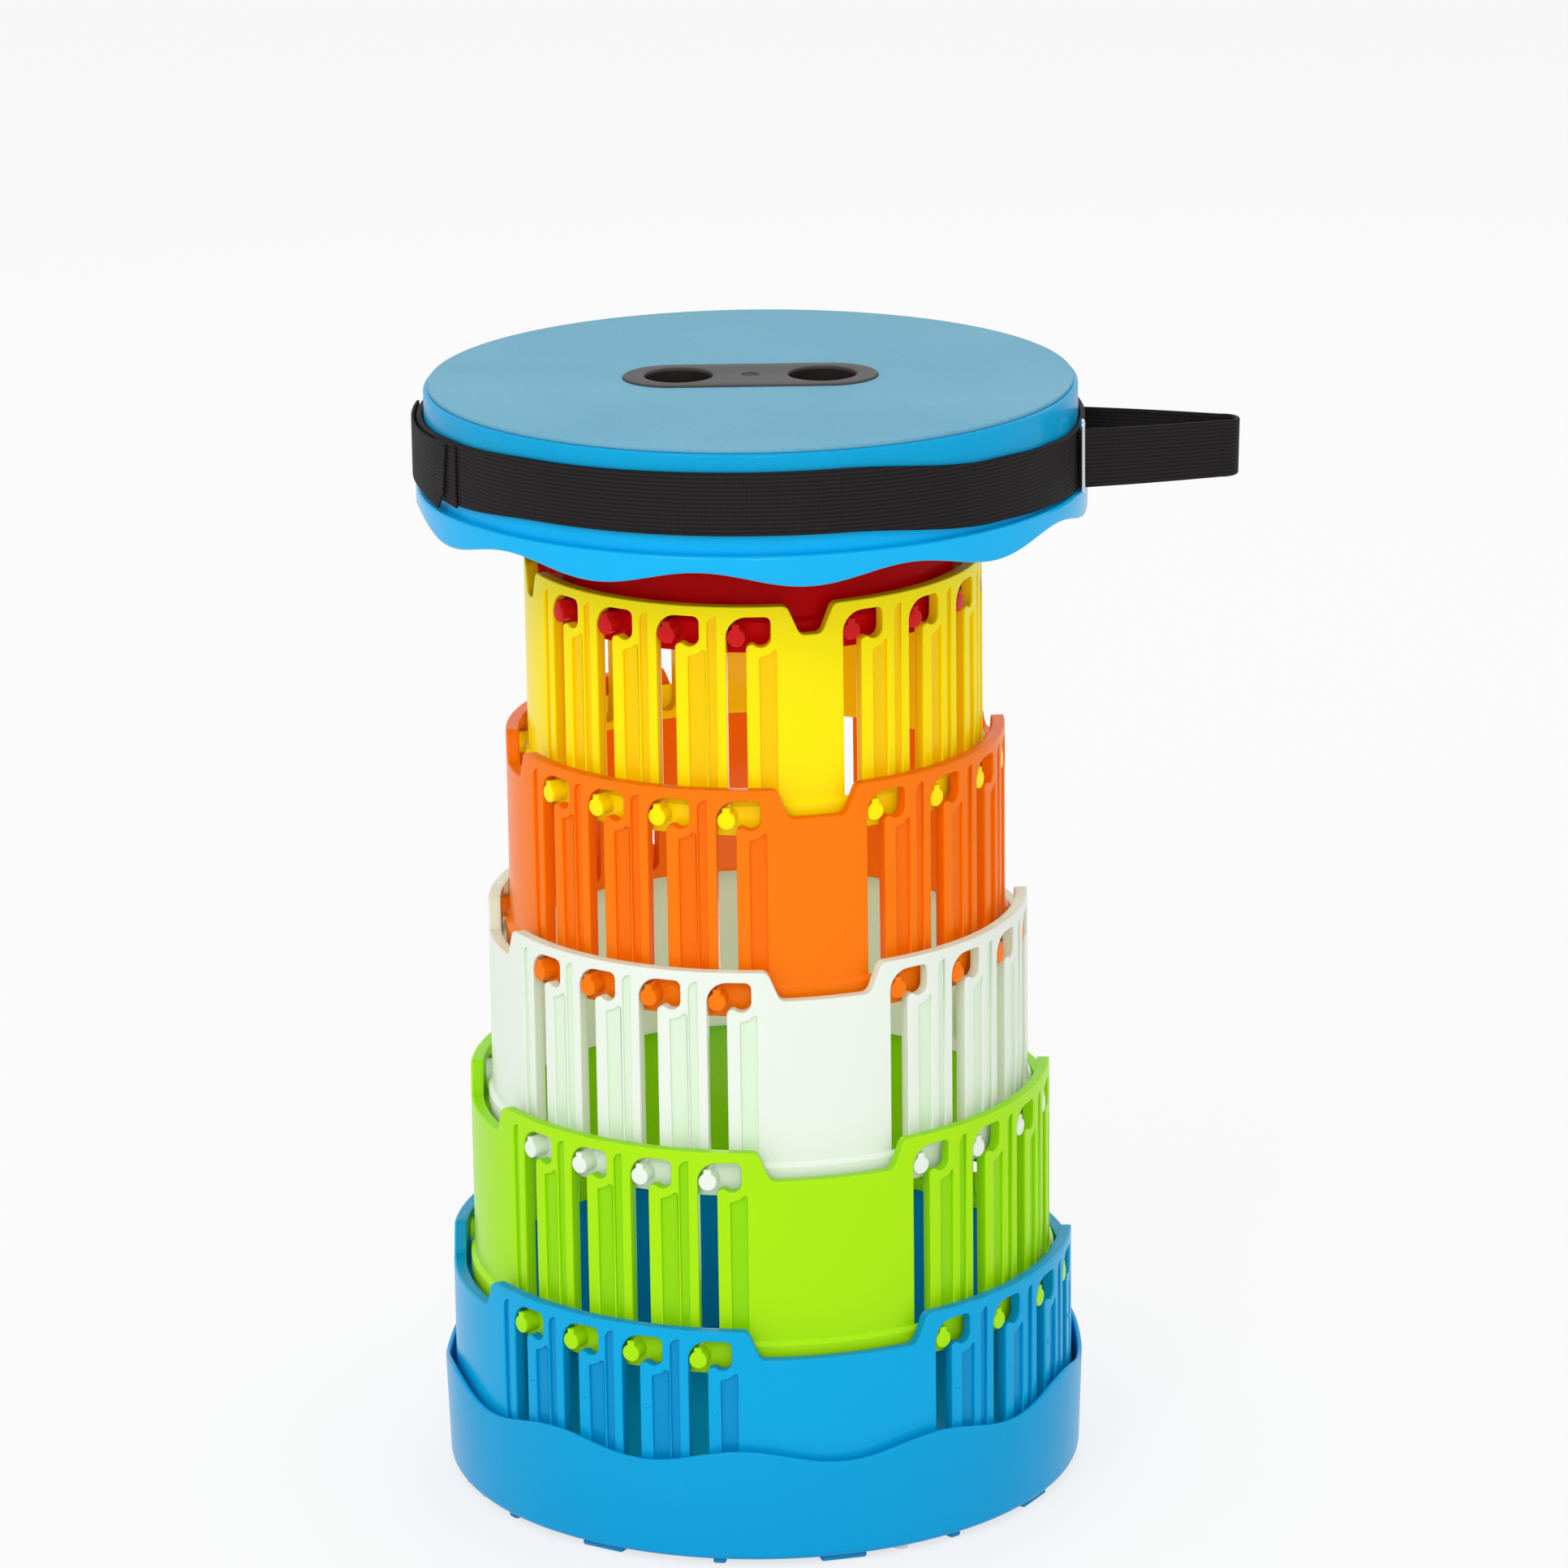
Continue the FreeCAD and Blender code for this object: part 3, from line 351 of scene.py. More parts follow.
def moulded_plastic(name, face, deep, radius=None, roughness=0.3, coat=0.12, below=None):
    """Glossy moulded plastic with faint flow marks and fine scuffs.

    Inside the radius, where its wall is cut back, it has the deep tone as painted shade, and below
    holds a level and the brighter tone, painted light, that it has under that level.
    """
    finish = Finish(name, Specular_IOR_Level=coat / 2, Coat_Weight=coat, Coat_Roughness=0.1)
    spot = finish.place()
    flow = finish.noise(FLOW_MARKS, spot, 3.0)
    scuff = finish.noise(SCUFFS, spot, 2.0)
    tone = face
    if radius is not None:
        east, north, _ = finish.axes(spot)
        reach = (east * east + north * north).power(0.5)
        # painted shade: the colour turns to the deep tone where the wall is cut back inside the
        # radius
        recess_shade = 1 - reach.smooth(radius - 1.1 * MM, radius - 0.5 * MM)
        tone = finish.mix(recess_shade, face, deep)
    # painted light: under the level the colour turns to the brighter lit tone
    if below:
        level, lit = below
        _, _, height = finish.axes(spot)
        tone = finish.mix(1 - height.smooth(level - LIT_FADE, level + LIT_FADE), face, lit)
    finish.link("Base Color", finish.mix(flow.smooth(0.35, 0.75) * 0.1, tone, deep))
    finish.link("Roughness", roughness + (flow - 0.5) * 0.12 + (scuff - 0.5) * 0.08)
    finish.bump(scuff, 0.02 * MM, 0.25)
    return finish.material


def grip_mat(name, tone):
    """Matte rubber with a fine pebbled grain and slightly rubbed patches."""
    finish = Finish(name, Specular_IOR_Level=0.15)
    spot = finish.place()
    sockets = {"Vector": spot, "Scale": PEBBLES}
    pebble = finish.node("ShaderNodeTexVoronoi", {"feature": "SMOOTH_F1"}, sockets)
    rubbed = finish.noise(RUBBED_PATCHES, spot, 4.0).smooth(0.42, 0.7)
    grain = finish.noise(RUBBER_GRAIN, spot, 1.0)
    worn = finish.mix(rubbed * 0.22, tone, toned(tone, 1.22, 0.03))
    # painted shade: darker in the low parts between the pebbles
    finish.link("Base Color", finish.mix(pebble.smooth(0.2, 0.8) * 0.35, worn, toned(tone, 0.88)))
    finish.link("Roughness", 0.62 + grain * 0.14 - rubbed * 0.08)
    finish.bump(1 - pebble + grain * 0.3, 0.12 * MM, 0.6)
    return finish.material


def woven_webbing(name, tone):
    """Black polypropylene webbing: ribs along its length, fine picks across, and some fuzz."""
    finish = Finish(name, Specular_IOR_Level=0.14)
    along, across, _ = finish.axes(finish.place("UV"))
    rib = (across * (math.tau / RIB_SPACING)).sine() * 0.5 + 0.5
    pick = (along * (math.tau / PICK_SPACING) + rib * 1.6).sine() * 0.5 + 0.5
    fuzz = finish.noise(FUZZ, finish.place(), 2.0)
    weave = rib * 0.6 + pick * 0.4
    # painted light and shade: the weave's raised threads are painted lighter and its dips darker
    thread = finish.mix(weave.smooth(0.25, 0.95), toned(tone, 0.5), toned(tone, 1.7, 0.002))
    finish.link("Base Color", finish.mix(fuzz * 0.3, thread, tone))
    finish.link("Roughness", 0.55 + fuzz * 0.25)
    finish.bump(weave + fuzz * 0.25, 0.2 * MM, 0.7)
    return finish.material


def steel(name, tone, roughness=0.22):
    """Bright drawn steel with hairlines and a few dull spots."""
    finish = Finish(name, Metallic=1.0)
    spot = finish.place()
    sockets = {"Vector": spot, "Scale": HAIRLINE_STRETCH}
    hair = finish.noise(HAIRLINES, finish.node("ShaderNodeMapping", {}, sockets), 2.0)
    dull = finish.noise(DULL_SPOTS, spot, 3.0).smooth(0.5, 0.75)
    finish.link("Base Color", finish.mix(dull * 0.5, tone, toned(tone, 0.7)))
    finish.link("Roughness", roughness + hair * 0.12 + dull * 0.15)
    finish.bump(hair, 0.01 * MM, 0.3)
    return finish.material


def grained_plastic(name, tone, roughness=0.45, shade_below=None):
    """Plastic with a spark-eroded grain, with painted shade in hollows below a level."""
    finish = Finish(name, Specular_IOR_Level=0.2)
    spot = finish.place()
    grain = finish.noise(ERODED_GRAIN, spot, 3.0)
    cloud = finish.noise(CLOUDS, spot, 2.0)
    shade = finish.mix(cloud * 0.35 + grain * 0.15, tone, toned(tone, 1.25, 0.004))
    # painted shade: the colour goes much darker below the level
    if shade_below is not None:
        _, _, height = finish.axes(spot)
        hollow_shade = 1 - height.smooth(shade_below - HOLLOW_FADE, shade_below)
        shade = finish.mix(hollow_shade, shade, toned(tone, 0.22))
    finish.link("Base Color", shade)
    finish.link("Roughness", roughness + grain * 0.15)
    finish.bump(grain, 0.05 * MM, 0.5)
    return finish.material


# Outlines

def arc(centre_x, centre_y, radius, start, end, steps):
    """Points on an arc from one angle to another, in degrees."""
    points = []
    for step in range(steps + 1):
        angle = math.radians(start + (end - start) * step / steps)
        points.append((centre_x + radius * math.cos(angle), centre_y + radius * math.sin(angle)))
    return points


def circle(radius, count, centre_x=0):
    """Evenly spaced points round a circle."""
    return arc(centre_x, 0, radius, 0, 360 - 360 / count, count - 1)


def rounded(corners, steps=5):
    """A closed outline with each corner (x, y, radius) rounded."""
    points = []
    for index, (x, y, radius) in enumerate(corners):
        here = Vector((x, y))
        before = Vector(corners[index - 1][:2]) - here
        after = Vector(corners[(index + 1) % len(corners)][:2]) - here
        if radius <= 0:
            points.append((x, y))
            continue
        before.normalize()
        after.normalize()
        half = math.acos(max(-1, min(1, before.dot(after)))) / 2
        reach = radius / math.tan(half)
        middle = (before + after).normalized()
        centre = here + middle * (radius / math.sin(half))
        first = here + before * reach - centre
        last = here + after * reach - centre
        sweep = first.angle_signed(last)
        for step in range(steps + 1):
            swung = first.copy()
            swung.rotate(Matrix.Rotation(-sweep * step / steps, 2))
            points.append(tuple(centre + swung))
    return points


def thinned(points, gap=0.02 * MM):
    """The outline without points that nearly coincide."""
    kept = []
    for point in points:
        if not kept or math.dist(point, kept[-1]) > gap:
            kept.append(point)
    if math.dist(kept[0], kept[-1]) <= gap:
        kept.pop()
    return kept


# Meshes

MERGE = 0.002 * MM
HAIR = 0.03 * MM  # keeps two faces from coinciding
FIT = 0.1 * MM  # the gap or lap between pieces that meet
STRIPS = 144  # that a ring's flat wall is cut into before it is bent
CREASE = math.radians(38)  # a turned solid's steeper edges are shaded sharp


def open_only(piece):
    """Makes this the one selected and active object."""
    bpy.ops.object.select_all(action="DESELECT")
    piece.select_set(True)
    bpy.context.view_layer.objects.active = piece


def new_piece(name, mesh):
    """Links an object that holds the mesh or curve, and makes it the active one."""
    piece = bpy.data.objects.new(name, mesh)
    bpy.context.collection.objects.link(piece)
    open_only(piece)
    return piece


def drawn(name, dimensions, outlines):
    """A curve with a closed line through the points of each outline."""
    curve = bpy.data.curves.new(name, "CURVE")
    curve.dimensions = dimensions
    for outline in outlines:
        spline = curve.splines.new("POLY")
        spline.points.add(len(outline) - 1)
        for point, place in zip(spline.points, outline):
            point.co = (*place, 1)
        spline.use_cyclic_u = True
    return curve


def seal():
    """Merges doubled points, turns the faces outwards and leaves edit mode."""
    bpy.ops.mesh.select_all(action="SELECT")
    bpy.ops.mesh.remove_doubles(threshold=MERGE)
    bpy.ops.mesh.delete_loose()
    bpy.ops.mesh.select_all(action="SELECT")
    bpy.ops.mesh.normals_make_consistent(inside=False)
    bpy.ops.object.mode_set(mode="OBJECT")


def plate(name, outlines, low, high, rounding, steps=2, shrink=0.0):
    """A flat plate with holes between two levels, with every edge rounded.

    It is drawn in millimetres, because a curve's bevel loses its shape at real size.
    """
    flat = [[(x / MM, y / MM, 0) for x, y in thinned(outline)] for outline in outlines]
    curve = drawn(name, "2D", flat)
    curve.fill_mode = "BOTH"
    curve.extrude = ((high - low) / 2 - rounding) / MM
    curve.bevel_depth = rounding / MM
    curve.bevel_resolution = steps
    curve.offset = -(rounding + shrink) / MM
    piece = new_piece(name, curve)
    bpy.ops.object.convert(target="MESH")
    piece = bpy.context.object
    piece.data.transform(Matrix.Translation((0, 0, (low + high) / 2)) @ Matrix.Scale(MM, 4))
    open_only(piece)
    bpy.ops.object.mode_set(mode="EDIT")
    seal()
    bpy.ops.object.shade_smooth()
    return piece


@contextmanager
def reshaped(piece):
    """Opens the piece's mesh for changes and writes it back."""
    shape = bmesh.new()
    shape.from_mesh(piece.data)
    yield shape
    shape.to_mesh(piece.data)
    shape.free()


def cut_strips(piece, places):
    """Cuts the piece across X at each place, so that it can bend there."""
    with reshaped(piece) as shape:
        for place in places:
            bmesh.ops.bisect_plane(
                shape, geom=shape.verts[:] + shape.edges[:] + shape.faces[:], dist=MERGE / 2,
                plane_co=(place, 0, 0), plane_no=(1, 0, 0),
            )


def wrap(piece, radius, low, high, rim, start):
    """Bends a flat wall round the axis: X runs round it, Y up from the rim, and Z outwards.

    Only the rounded edges lie between the radii low and high, so each point's normal follows
    from its reach: outwards, inwards or, in between, left to Blender.
    """
    with reshaped(piece) as shape:
        for vertex in shape.verts:
            across, up, out = vertex.co
            angle = start + across / radius
            vertex.co = (out * math.sin(angle), -out * math.cos(angle), rim + up)
        bmesh.ops.remove_doubles(shape, verts=shape.verts, dist=MERGE)
    normals = []
    for vertex in piece.data.vertices:
        outward = Vector((vertex.co.x, vertex.co.y, 0))
        reach = outward.length
        side = (abs(reach - high) < 2 * MERGE) - (abs(reach - low) < 2 * MERGE)
        normals.append(outward * (side / reach))
    piece.data.normals_split_custom_set_from_vertices(normals)


def spun(name, outline, steps=192):
    """A solid turned about Z from a closed outline of (radius, height)."""
    mesh = bpy.data.meshes.new(name)
    points = [(radius, 0, height) for radius, height in outline]
    edges = [(index, (index + 1) % len(points)) for index in range(len(points))]
    mesh.from_pydata(points, edges, [])
    piece = new_piece(name, mesh)
    bpy.ops.object.mode_set(mode="EDIT")
    bpy.ops.mesh.select_all(action="SELECT")
    bpy.ops.mesh.spin(steps=steps, angle=math.tau, center=(0, 0, 0), axis=(0, 0, 1))
    seal()
    bpy.ops.object.shade_smooth_by_angle(angle=CREASE)
    return piece


def sleeve(name, inner, outer, low, high, steps, edge=0, lip=0):
    """A sleeve about Z, its lower edge rounded outside by edge and inside by lip."""
    corners = [(inner, low, lip), (outer, low, edge), (outer, high, 0), (inner, high, 0)]
    return spun(name, rounded(corners, 3), steps)


def bead(name, segments, rings, scale):
    """A small smooth knob, to be copied."""
    bpy.ops.mesh.primitive_uv_sphere_add(segments=segments, ring_count=rings, radius=1.0)
    piece = bpy.context.object
    piece.name = name
    piece.data.transform(Matrix.Diagonal((*scale, 1.0)))
    bpy.ops.object.shade_smooth()
    return piece


def joined(pieces, name):
    """The pieces as one object, under one name."""
    open_only(pieces[0])
    for piece in pieces:
        piece.select_set(True)
    if len(pieces) > 1:
        bpy.ops.object.join()
    pieces[0].name = name
    return pieces[0]


def copied(piece, matrices):
    """Copies of the piece under each matrix, the piece itself going to the first."""
    first, *others = matrices
    copies = [piece]
    for matrix in others:
        mesh = piece.data.copy()
        mesh.transform(matrix)
        copies.append(new_piece(piece.name, mesh))
    piece.data.transform(first)
    return copies


def clamped(share):
    """The share, kept between 0 and 1."""
    return min(1, max(0, share))


def bearing(vertex):
    """A point's angle about the axis, from the front towards the right."""
    return math.atan2(vertex.co.x, -vertex.co.y)


def finish_piece(piece, material, body, nodes=()):
    """Gives a piece its finish and says what it rides on and stands for."""
    piece.data.materials.clear()
    piece.data.materials.append(material)
    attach(piece, body)
    if nodes:
        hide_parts(*nodes)


def repaint(node, material):
    """Gives a CAD node, which stays as it is, a finish of its own."""
    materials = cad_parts[node].data.materials
    materials.clear()
    materials.append(material)


# Rings

SEAM_OVERLAP = 6 * MM
CORE_SHRINK = 0.02 * MM  # keeps the edges of a wall's core off its skin's
WALL_LAP = 1.5 * MM  # how far a banded ring's wall runs on below its slots
SILL_DROP = 0.2 * MM  # how far its band's solid foot stays below them
PEG_SINK = 0.6 * MM
PEG_GAP = 0.3 * MM
PEG_ROUND = 0.6 * MM
BUMP_SIZE = (1.5 * MM, 1.05 * MM, 1.125 * MM)
BUMP_SINK = 0.45 * MM
BUMP_LEVEL = 62 * MM


def half_panel(sizes, radius):
    """Half the arc of a plain panel on a radius."""
    return (radius * math.pi / 2 - sizes.group_arc) / 2


def slot_starts(sizes, radius):
    """Each slot's left edge, as an arc from the front panel's middle, and if it has a groove."""
    quarter = radius * math.pi / 2
    edge = half_panel(sizes, radius)
    starts = []
    for side in range(4):
        left = side % 2
        first = sizes.left_start if left else sizes.right_start
        pitch = sizes.left_pitch if left else sizes.right_pitch
        whole_turn = math.tau * radius if side > 1 else 0
        for index in range(4):
            start = side * quarter + edge + first + index * pitch
            starts.append((start - whole_turn, bool(left or index)))
    return starts


def slot_outline(sizes, start):
    """A slot and its pocket: round the arch and the cradle, over the shoulder and round the end."""
    right = start + sizes.pocket_width
    top = -sizes.pocket_top
    corner = sizes.pocket_corner
    cradle_x = right - sizes.cradle
    diagonal = sizes.cradle * math.sqrt(0.5)
    shelf = -sizes.peg_depth - diagonal
    inner = start + sizes.slot_width
    half = sizes.slot_width / 2
    points = arc(start + sizes.arch, top - sizes.arch, sizes.arch, 180, 90, 10)
    points += arc(right - corner, top - corner, corner, 90, 0, 5)
    points += arc(cradle_x, -sizes.peg_depth, sizes.cradle, 0, -135, 10)
    points += arc(inner + sizes.shoulder, shelf - sizes.shoulder, sizes.shoulder, 90, 180, 5)
    points += arc(start + half, half - sizes.slot_end, half, 0, -180, 10)
    return points


def wide_groove(sizes, start, foot):
    """The wide groove to the right of a slot, with a slanted top."""
    left = start + sizes.slot_width + sizes.strip
    right = left + sizes.wide_groove
    low = -sizes.peg_depth - sizes.cradle - sizes.wide_drop
    bend = sizes.wide_groove * 0.6
    return rounded([
        (left, foot, 0), (right, foot, 0), (right, low + sizes.wide_slope, sizes.skin / 2),
        (left + bend, low + sizes.wide_slope * 0.38, sizes.skin / 2), (left, low, sizes.skin / 2),
    ], 3)


def thin_groove(sizes, start, foot):
    """The thin groove to the left of a slot, with a quarter round for its top."""
    right = start - sizes.thin_strip
    width = sizes.thin_groove
    top = arc(right, -sizes.pocket_top - width, width, 90, 180, 6)
    return [(right - width, foot), (right, foot), *top]


def wall_outline(sizes, radius, foot):
    """The ring's wall laid flat, a little longer than its round, with a notch above each panel."""
    quarter = radius * math.pi / 2
    end = 2 * quarter + SEAM_OVERLAP
    wide = half_panel(sizes, radius) - sizes.notch_margin
    narrow = wide - sizes.notch_flare
    low = -sizes.notch_depth
    bend = sizes.notch_round
    corners = [(end, foot, 0), (end, low, 0)]
    for side in (2, 1, 0, -1, -2):
        middle = side * quarter
        if side < 2:
            corners += [(middle + wide, 0, bend), (middle + narrow, low, bend)]
        if side > -2:
            corners += [(middle - narrow, low, bend), (middle - wide, 0, bend)]
    corners += [(-end, low, 0), (-end, foot, 0)]
    return rounded(corners, 6)


def ring_wall(sizes, name, radius, rim, foot):
    """The two layers of a slotted wall: a core with slots, and a skin with slots and grooves."""
    band = sizes.band_height - sizes.height
    starts = slot_starts(sizes, radius)
    slots = [slot_outline(sizes, start) for start, _ in starts]
    grooves = [wide_groove(sizes, start, band) for start, _ in starts]
    grooves += [thin_groove(sizes, start, band) for start, grooved in starts if grooved]
    wall = wall_outline(sizes, radius, foot)
    layers = [
        (slots, radius - sizes.wall, radius - sizes.skin, CORE_SHRINK),
        (slots + grooves, radius - 2 * sizes.skin, radius, 0.0),
    ]
    pieces = []
    around = math.tau * radius
    for holes, low, high, shrink in layers:
        rounding = min(sizes.rounding, (high - low) * 0.22)
        layer = plate(name, [wall, *holes], low, high, rounding, 2, shrink)
        cut_strips(layer, [around * (step / STRIPS - 0.5) for step in range(STRIPS + 1)])
        trim_ends(layer, around / 2)
        wrap(layer, radius, low, high, rim, sizes.panel_turn)
        pieces.append(layer)
    return pieces


def trim_ends(piece, half):
    """Removes what lies past half the round on either side."""
    with reshaped(piece) as shape:
        spare = [face for face in shape.faces if abs(face.calc_center_median().x) > half]
        bmesh.ops.delete(shape, geom=spare, context="FACES")


def ring_band(sizes, name, radius, rim):
    """The thick band round a ring's foot: solid below the slots, a skin over their lower ends."""
    foot = rim - sizes.height
    outer = radius + sizes.band_proud
    inner = radius - sizes.wall + HAIR
    skin = radius - FIT
    top = foot + sizes.band_height
    sill = rim - sizes.slot_end - SILL_DROP
    soft = sizes.rounding
    return spun(name, rounded([
        (inner, foot, soft), (outer, foot, soft), (outer, top - sizes.band_proud, soft),
        (skin, top, 0), (skin, sill, 0), (inner, sill, 0),
    ], 3))


def ring_pegs(sizes, name, radius, rim, rise):
    """Sixteen pegs with their webs, each at the middle of a slot of the next larger ring."""
    larger = radius + sizes.pitch
    half = sizes.web_width / 2
    joint = math.degrees(math.acos(half / sizes.peg_radius))
    outline = arc(0, 0, sizes.peg_radius, 180 - joint, 360 + joint, 26)
    outline += [(half, sizes.web_height), (-half, sizes.web_height)]
    peg = plate(name, [outline], radius + PEG_SINK, larger - PEG_GAP, PEG_ROUND, 3)
    upright = Matrix(((1, 0, 0, 0), (0, 0, -1, 0), (0, 1, 0, 0), (0, 0, 0, 1)))
    height = Matrix.Translation((0, 0, rim - rise - sizes.peg_depth))
    matrices = []
    for start, _ in slot_starts(sizes, larger):
        angle = sizes.panel_turn + (start + sizes.slot_width / 2) / larger
        matrices.append(height @ Matrix.Rotation(angle, 4, "Z") @ upright)
    return joined(copied(peg, matrices), name)


def base_bumps(sizes, radius):
    """Small moulded bumps on the strips between the base ring's slots."""
    bump = bead("base_bumps", 12, 8, BUMP_SIZE)
    place = Matrix.Translation((0, BUMP_SINK - radius, BUMP_LEVEL))
    matrices = []
    for start, _ in slot_starts(sizes, radius):
        along = start + sizes.slot_width + sizes.strip * 0.55
        matrices.append(Matrix.Rotation(sizes.panel_turn + along / radius, 4, "Z") @ place)
    return joined(copied(bump, matrices), "base_bumps")


class STOOL_OT_rings(bpy.types.Operator):
    """Models the five slotted rings with their pegs"""
    bl_idname = "stool.rings"
    bl_label = "Slotted rings"

    def execute(self, context):
        sizes = context.scene.stool_rings
        colours = context.scene.stool_colours
        for step, body in enumerate(BODIES[:5]):
            radius = sizes.base_radius - step * sizes.pitch
            rim = sizes.base_rim + step * sizes.rise
            face = getattr(colours, f"{body}_face")
            # painted shade: each ring's deep tone colours its recesses
            deep = getattr(colours, f"{body}_deep")
            material = moulded_plastic(f"{body} ring plastic", face, deep, radius)
            foot = -sizes.slot_end - WALL_LAP if step else -sizes.base_height
            pieces = ring_wall(sizes, f"{body}_wall", radius, rim, foot)
            if step:
                pieces.append(ring_band(sizes, f"{body}_band", radius, rim))
            finish_piece(joined(pieces, f"{body}_wall"), material, body, [f"{body}_ring"])
            if step:
                small = ring_pegs(sizes, f"{body}_pegs", radius, rim, sizes.rise)
            else:
                small = base_bumps(sizes, radius)
            finish_piece(small, material, body)
        return {"FINISHED"}


class STOOL_OT_red_ring(bpy.types.Operator):
    """Models the plain innermost ring, its seat flange and its pegs"""
    bl_idname = "stool.red_ring"
    bl_label = "Red ring"

    def execute(self, context):
        sizes = context.scene.stool_rings
        colours = context.scene.stool_colours
        radius = sizes.base_radius - 5 * sizes.pitch
        rim = sizes.red_rim
        foot = rim - sizes.red_height
        inner = radius - sizes.wall
        outer = radius + sizes.band_proud
        band = foot + sizes.band_height
        hub = inner - sizes.flange
        under = rim - sizes.flange_thickness
        soft = sizes.rounding
        wall = spun("red_wall", rounded([
            (inner, foot, soft), (outer, foot, soft), (outer, band - sizes.band_proud, soft),
            (radius, band, soft), (radius, rim, soft), (hub, rim, soft), (hub, under, soft),
            (inner, under, soft),
        ], 3))
        dark_red = colours.red_wall
        dark = moulded_plastic("red ring plastic", dark_red, toned(dark_red, 0.7), coat=0.04)
        finish_piece(wall, dark, "seat", ["red_ring"])
        rise = rim - (sizes.base_rim + 4 * sizes.rise)
        pegs = ring_pegs(sizes, "red_pegs", radius, rim, rise)
        bright = moulded_plastic("red peg plastic", colours.red_face, dark_red, roughness=0.22)
        finish_piece(pegs, bright, "seat")
        return {"FINISHED"}


# Base

WAVES = 10
LOBES = 8


def make_wavy(piece, still, edge, depth, turned):
    """Shifts a piece's edge up and down in waves that fade out towards the level still."""
    for vertex in piece.data.vertices:
        share = clamped((vertex.co.z - still) / (edge - still))
        vertex.co.z -= depth * share * math.cos(WAVES * (bearing(vertex) - turned))
    piece.data.update()


class STOOL_OT_base(bpy.types.Operator):
    """Models the wavy base cover and the foot ring with its lobes"""
    bl_idname = "stool.base"
    bl_label = "Base cover and feet"

    def execute(self, context):
        sizes = context.scene.stool_base
        colours = context.scene.stool_colours
        foot_radius = sizes.radius - sizes.taper
        soft = sizes.wall * 0.42
        cover = spun("base_cover_wall", rounded([
            (sizes.lip_radius, sizes.foot, 0), (foot_radius, sizes.foot, sizes.foot_round),
            (sizes.radius, sizes.level, soft), (sizes.radius - sizes.wall, sizes.level, soft),
            (foot_radius - sizes.wall, sizes.lip_top, 0), (sizes.lip_radius, sizes.lip_top, 0),
        ], 5), 360)
        still = sizes.foot + sizes.foot_round + 1 * MM
        make_wavy(cover, still, sizes.level - 1 * MM, sizes.wave, sizes.wave_turn)
        deep = toned(colours.cover, 0.86)
        blue = moulded_plastic("cover plastic", colours.cover, deep)
        finish_piece(cover, blue, "base", ["base_cover"])
        dark = grained_plastic("foot plastic", colours.foot)
        finish_piece(self.feet(context, sizes), dark, "base", ["foot_ring"])
        repaint("base_plate", moulded_plastic("base plate plastic", colours.base_deep, deep))
        return {"FINISHED"}

    def feet(self, context, sizes):
        """The foot ring, a hair above the undersides of its rounded wide and narrow lobes."""
        start = context.scene.stool_rings.panel_turn
        edges = [arc(0, 0, radius, 0, 359, 180) for radius in (sizes.ring_outer, sizes.ring_inner)]
        pieces = [plate("feet", edges, HAIR, sizes.lip_top, 0.5 * MM)]
        inner = (sizes.ring_inner + sizes.ring_outer) / 2
        step = math.tau / LOBES
        for width, offset in ((sizes.wide_lobe, 0.0), (sizes.narrow_lobe, step / 2)):
            half = width / 2
            lobe = plate("lobe", [rounded([
                (-half, -sizes.lobe_reach, 1.2 * MM), (half, -sizes.lobe_reach, 1.2 * MM),
                (half, -inner, 0), (-half, -inner, 0),
            ])], 0, sizes.lobe_height, 0.6 * MM)
            turns = [start + offset + index * step for index in range(LOBES)]
            pieces += copied(lobe, [Matrix.Rotation(angle, 4, "Z") for angle in turns])
        return joined(pieces, "feet")


# Seat

